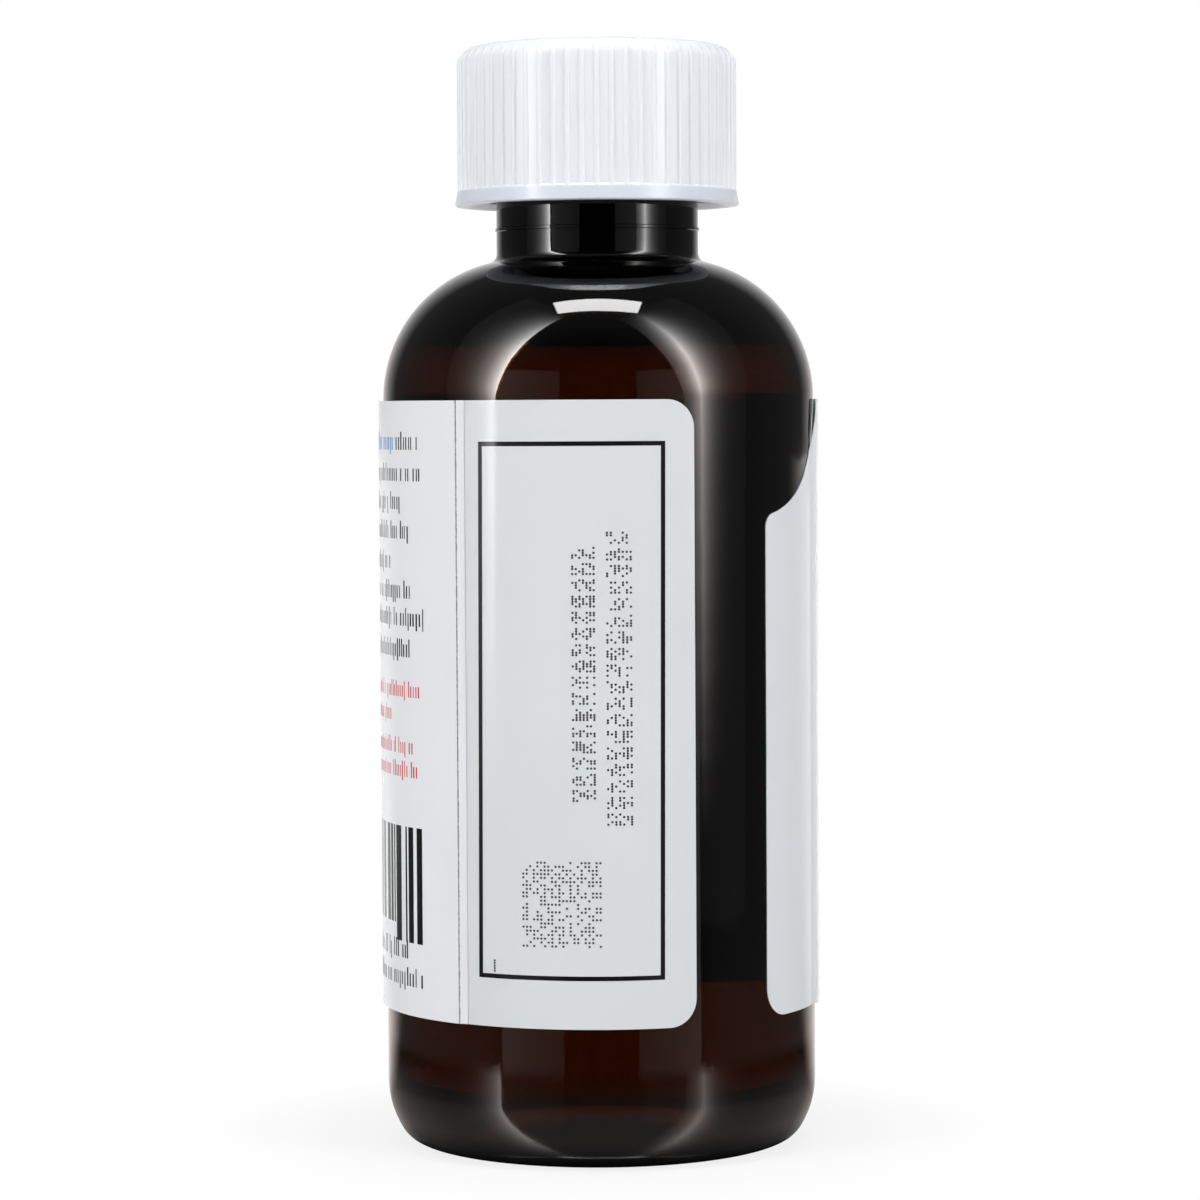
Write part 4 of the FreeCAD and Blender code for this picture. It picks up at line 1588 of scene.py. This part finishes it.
@dataclass
class Studio:
    """White floor and backdrop, soft boxes left, right and above, dim panels in front, and the camera."""

    target: Vector = field(default_factory=lambda: Vector((0, 0, 0.06)))
    # The floor, in millimetres
    floor_rings: tuple[float, ...] = (40.0, 80.0, 160.0, 400.0, 1500.0, 6000.0)
    floor_columns: int = 64
    floor_level: float = -0.02  # a hair under the standing ring, so the two faces don't share a plane
    floor_paper: str = "#E6E6E6"
    floor_gloss: str = "#7C7C7C"
    floor_roughness: float = 0.12
    floor_white: float = 0.82  # share of plain white close to the bottle
    under_bottle: float = 19.0
    shadow_near: float = 25.0
    shadow_far: float = 50.0
    board_edge: float = 80.0  # how far reflections see the floor in front
    board_fade: float = 0.1  # share of that over which the edge fades, each way
    # painted light: how brightly the board glows to reflections next to the bottle, fading out towards its
    # edge
    board_glow: float = 0.25
    # What a ray meets by how far it points backwards: -1 is the front and 1 is straight behind the bottle
    floor_back: Pair = (0.5, 0.9)  # where the floor goes over to white in reflections
    front_side: Pair = (-0.9, -0.3)  # where reflections go from the front's level to the sides'
    mirrored_back: Pair = (0.67, 1.1)  # where they go over to white
    refracted_back: Pair = (0.9, 0.99)  # where refractions do
    front_level: float = 0.01
    side_level: float = 0.09
    fill_level: float = 0.175
    back_level: float = 0.75  # the fill from straight behind
    # The camera, in metres and degrees
    lens: float = 123.77
    sensor: float = 36.0
    clip: Pair = (0.01, 50.0)
    camera_place: tuple[float, float, float] = (0.00007, -0.43294, 0.07687)
    camera_pitch: float = 2.68
    camera_roll: float = -0.323
    boxes: tuple[SoftBox, ...] = (
        SoftBox(
            "soft_box_left", -70.5, 31.3, 0.765, 0.48, 1.3, 17.5, 0.0, 0.0, 6.3,
            foot_from=-0.01, **SIDE_ENDS,
        ),
        SoftBox(
            "soft_box_right", 64.6, 31.3, 0.765, 0.606, 1.3, 11.0, 0.27, 10.5, 9.0,
            foot_from=0.022, **SIDE_ENDS,
        ),
        SoftBox("soft_box_top", 0.0, 80.0, 0.8, 0.435, 0.17, 13.0),
        SoftBox("front_panel_left", -36.5, -6.0, 0.8, 0.48, 0.85, 0.3, peak=1.0, inner_loss=0.9),
        SoftBox("front_panel_right", 36.5, -6.0, 0.8, 0.48, 0.85, 0.3, peak=1.0, inner_loss=0.9),
    )

    def build_floor(self) -> None:
        """Rings of white floor: lit and shaded near the bottle, plain white to the eye further off."""
        count = self.floor_columns
        rings = np.array(self.floor_rings)[:, None]
        points = polar(rings, once_round(count)[None], self.floor_level).reshape(-1, 3)
        index = closed(np.arange(len(points)).reshape(-1, count))
        middle = np.stack([np.full(count, len(points)), index[0, :-1], index[0, 1:]], axis=-1)
        faces = middle.tolist() + grid_quads(index)[:, ::-1].tolist()
        mesh = bpy.data.meshes.new("floor")
        points = np.concatenate([points, [[0.0, 0.0, self.floor_level]]])
        mesh.from_pydata((points * MM).tolist(), [], faces)
        mesh.materials.append(self.floor_material())
        floor = bpy.data.objects.new("floor", mesh)
        bpy.context.scene.collection.objects.link(floor)

    def floor_material(self) -> bpy.types.Material:
        """A glossy white board, plain white to the camera away from the bottle.

        Reflections and refractions see it white behind the bottle. In front the studio is dark, and they
        see only the strip of board that the bottle stands on, with its gloss and a painted glow that fades
        outwards, and past that the dark.

        Returns:
            The material.
        """
        made = bpy.data.materials.new("glossy_white_board")
        made.use_nodes = True
        tree = made.node_tree
        tree.nodes.clear()
        ray = add(tree, "LightPath").outputs
        mirror = add(tree, "Math", LARGER, {0: ray["Is Glossy Ray"], 1: ray["Is Transmission Ray"]})
        place = add(tree, "TexCoord").outputs["Object"]
        away = add(tree, "VectorMath", LENGTH, {0: place})
        depth = add(tree, "SeparateXYZ", None, {"Vector": place}).outputs["Y"]
        backwards = add(tree, "Math", {"operation": "DIVIDE"}, {0: depth, 1: away})
        foot, shadow, far_shadow = self.under_bottle * MM, self.shadow_near * MM, self.shadow_far * MM
        edge, fade = self.board_edge * MM, self.board_fade
        far, near, lit, behind, open_floor = (
            add(tree, "MapRange", SMOOTH, dict(zip(RANGE, span)))
            for span in (
                (away, shadow, far_shadow, self.floor_white, 1.0),
                (away, (1 - fade) * edge, (1 + fade) * edge, 1.0, 0.0),
                (away, shadow, edge, self.board_glow, 0.0),
                (backwards, *self.floor_back, 0.0, 1.0),
                (away, foot, shadow, 0.0, 1.0),
            )
        )
        lit, behind = (add(tree, "Math", TIMES, {0: value, 1: open_floor}) for value in (lit, behind))
        paper = add(tree, "BsdfDiffuse", None, {"Color": linear(self.floor_paper)})
        white = add(tree, "Emission", None, {"Color": WHITE, "Strength": 1.0})
        # painted light: a grey glow on the board near the bottle, seen only in reflections and refractions
        grey = add(tree, "Emission", None, {"Color": WHITE, "Strength": lit})
        shine = {"Color": linear(self.floor_gloss), "Roughness": self.floor_roughness}
        board = add(tree, "AddShader", None, {0: grey, 1: add(tree, "BsdfGlossy", None, shine)})
        gone = add(tree, "BsdfTransparent")
        bright = add(tree, "Math", TIMES, {0: ray["Is Camera Ray"], 1: far})
        seen = add(tree, "MixShader", None, {0: bright, 1: paper, 2: white})
        front = add(tree, "MixShader", None, {0: near, 1: gone, 2: board})
        mirrored = add(tree, "MixShader", None, {0: behind, 1: front, 2: white})
        mix = add(tree, "MixShader", None, {0: mirror, 1: seen, 2: mirrored})
        add(tree, "OutputMaterial", None, {"Surface": mix})
        return made

    def build_world(self) -> None:
        """White to the camera, white behind the bottle to mirrored and bent rays, else a soft grey fill."""
        world = bpy.data.worlds.new("studio")
        bpy.context.scene.world = world
        world.use_nodes = True
        tree = world.node_tree
        tree.nodes.clear()
        path = add(tree, "LightPath")
        way = add(tree, "TexCoord").outputs["Generated"]
        back = add(tree, "SeparateXYZ", None, {"Vector": way}).outputs["Y"]
        fill, side, mirrored, refracted = (
            add(tree, "MapRange", SMOOTH, dict(zip(RANGE, (back, *span))))
            for span in (
                (0.0, 1.0, self.fill_level, self.back_level),
                (*self.front_side, self.front_level, self.side_level),
                (*self.mirrored_back, 0.0, 1.0),
                (*self.refracted_back, 0.0, 1.0),
            )
        )
        glow = add(tree, "Math", LARGER, {0: side, 1: mirrored})
        level = fill
        rays = (("Is Glossy Ray", glow), ("Is Transmission Ray", refracted), ("Is Camera Ray", 1.0))
        for ray, value in rays:
            mix = {SHARE: path.outputs[ray], FLOAT_A: level, FLOAT_B: value}
            level = add(tree, "Mix", {"data_type": "FLOAT"}, mix)
        light = add(tree, "Background", None, {"Color": WHITE, "Strength": level})
        add(tree, "OutputWorld", None, {"Surface": light})

    def build_camera(self) -> None:
        """A long lens just above the middle of the bottle, tipped down a little and rolled a hair."""
        lens = bpy.data.cameras.new("camera")
        lens.lens = self.lens
        lens.sensor_width = self.sensor
        lens.clip_start, lens.clip_end = self.clip
        camera = bpy.data.objects.new("camera", lens)
        tip = Matrix.Rotation(math.radians(90 - self.camera_pitch), 4, "X")
        roll = Matrix.Rotation(math.radians(self.camera_roll), 4, "Z")
        camera.matrix_world = Matrix.Translation(self.camera_place) @ tip @ roll
        bpy.context.scene.collection.objects.link(camera)
        bpy.context.scene.camera = camera

    def build(self) -> None:
        """Sets up floor, world, lamps and camera."""
        self.build_floor()
        self.build_world()
        for box in self.boxes:
            box.place(self.target)
        self.build_camera()
        bpy.context.scene.view_settings.view_transform = "Standard"
        log.info("studio: %d lamps", len(self.boxes))


def main() -> None:
    """Builds the object and the studio."""
    logging.basicConfig(level=logging.INFO, format="%(message)s")
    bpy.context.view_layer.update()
    Studio().build()
    Bottle().build()
    Label().build()
    Closure().build()


if __name__ == "__main__":
    main()
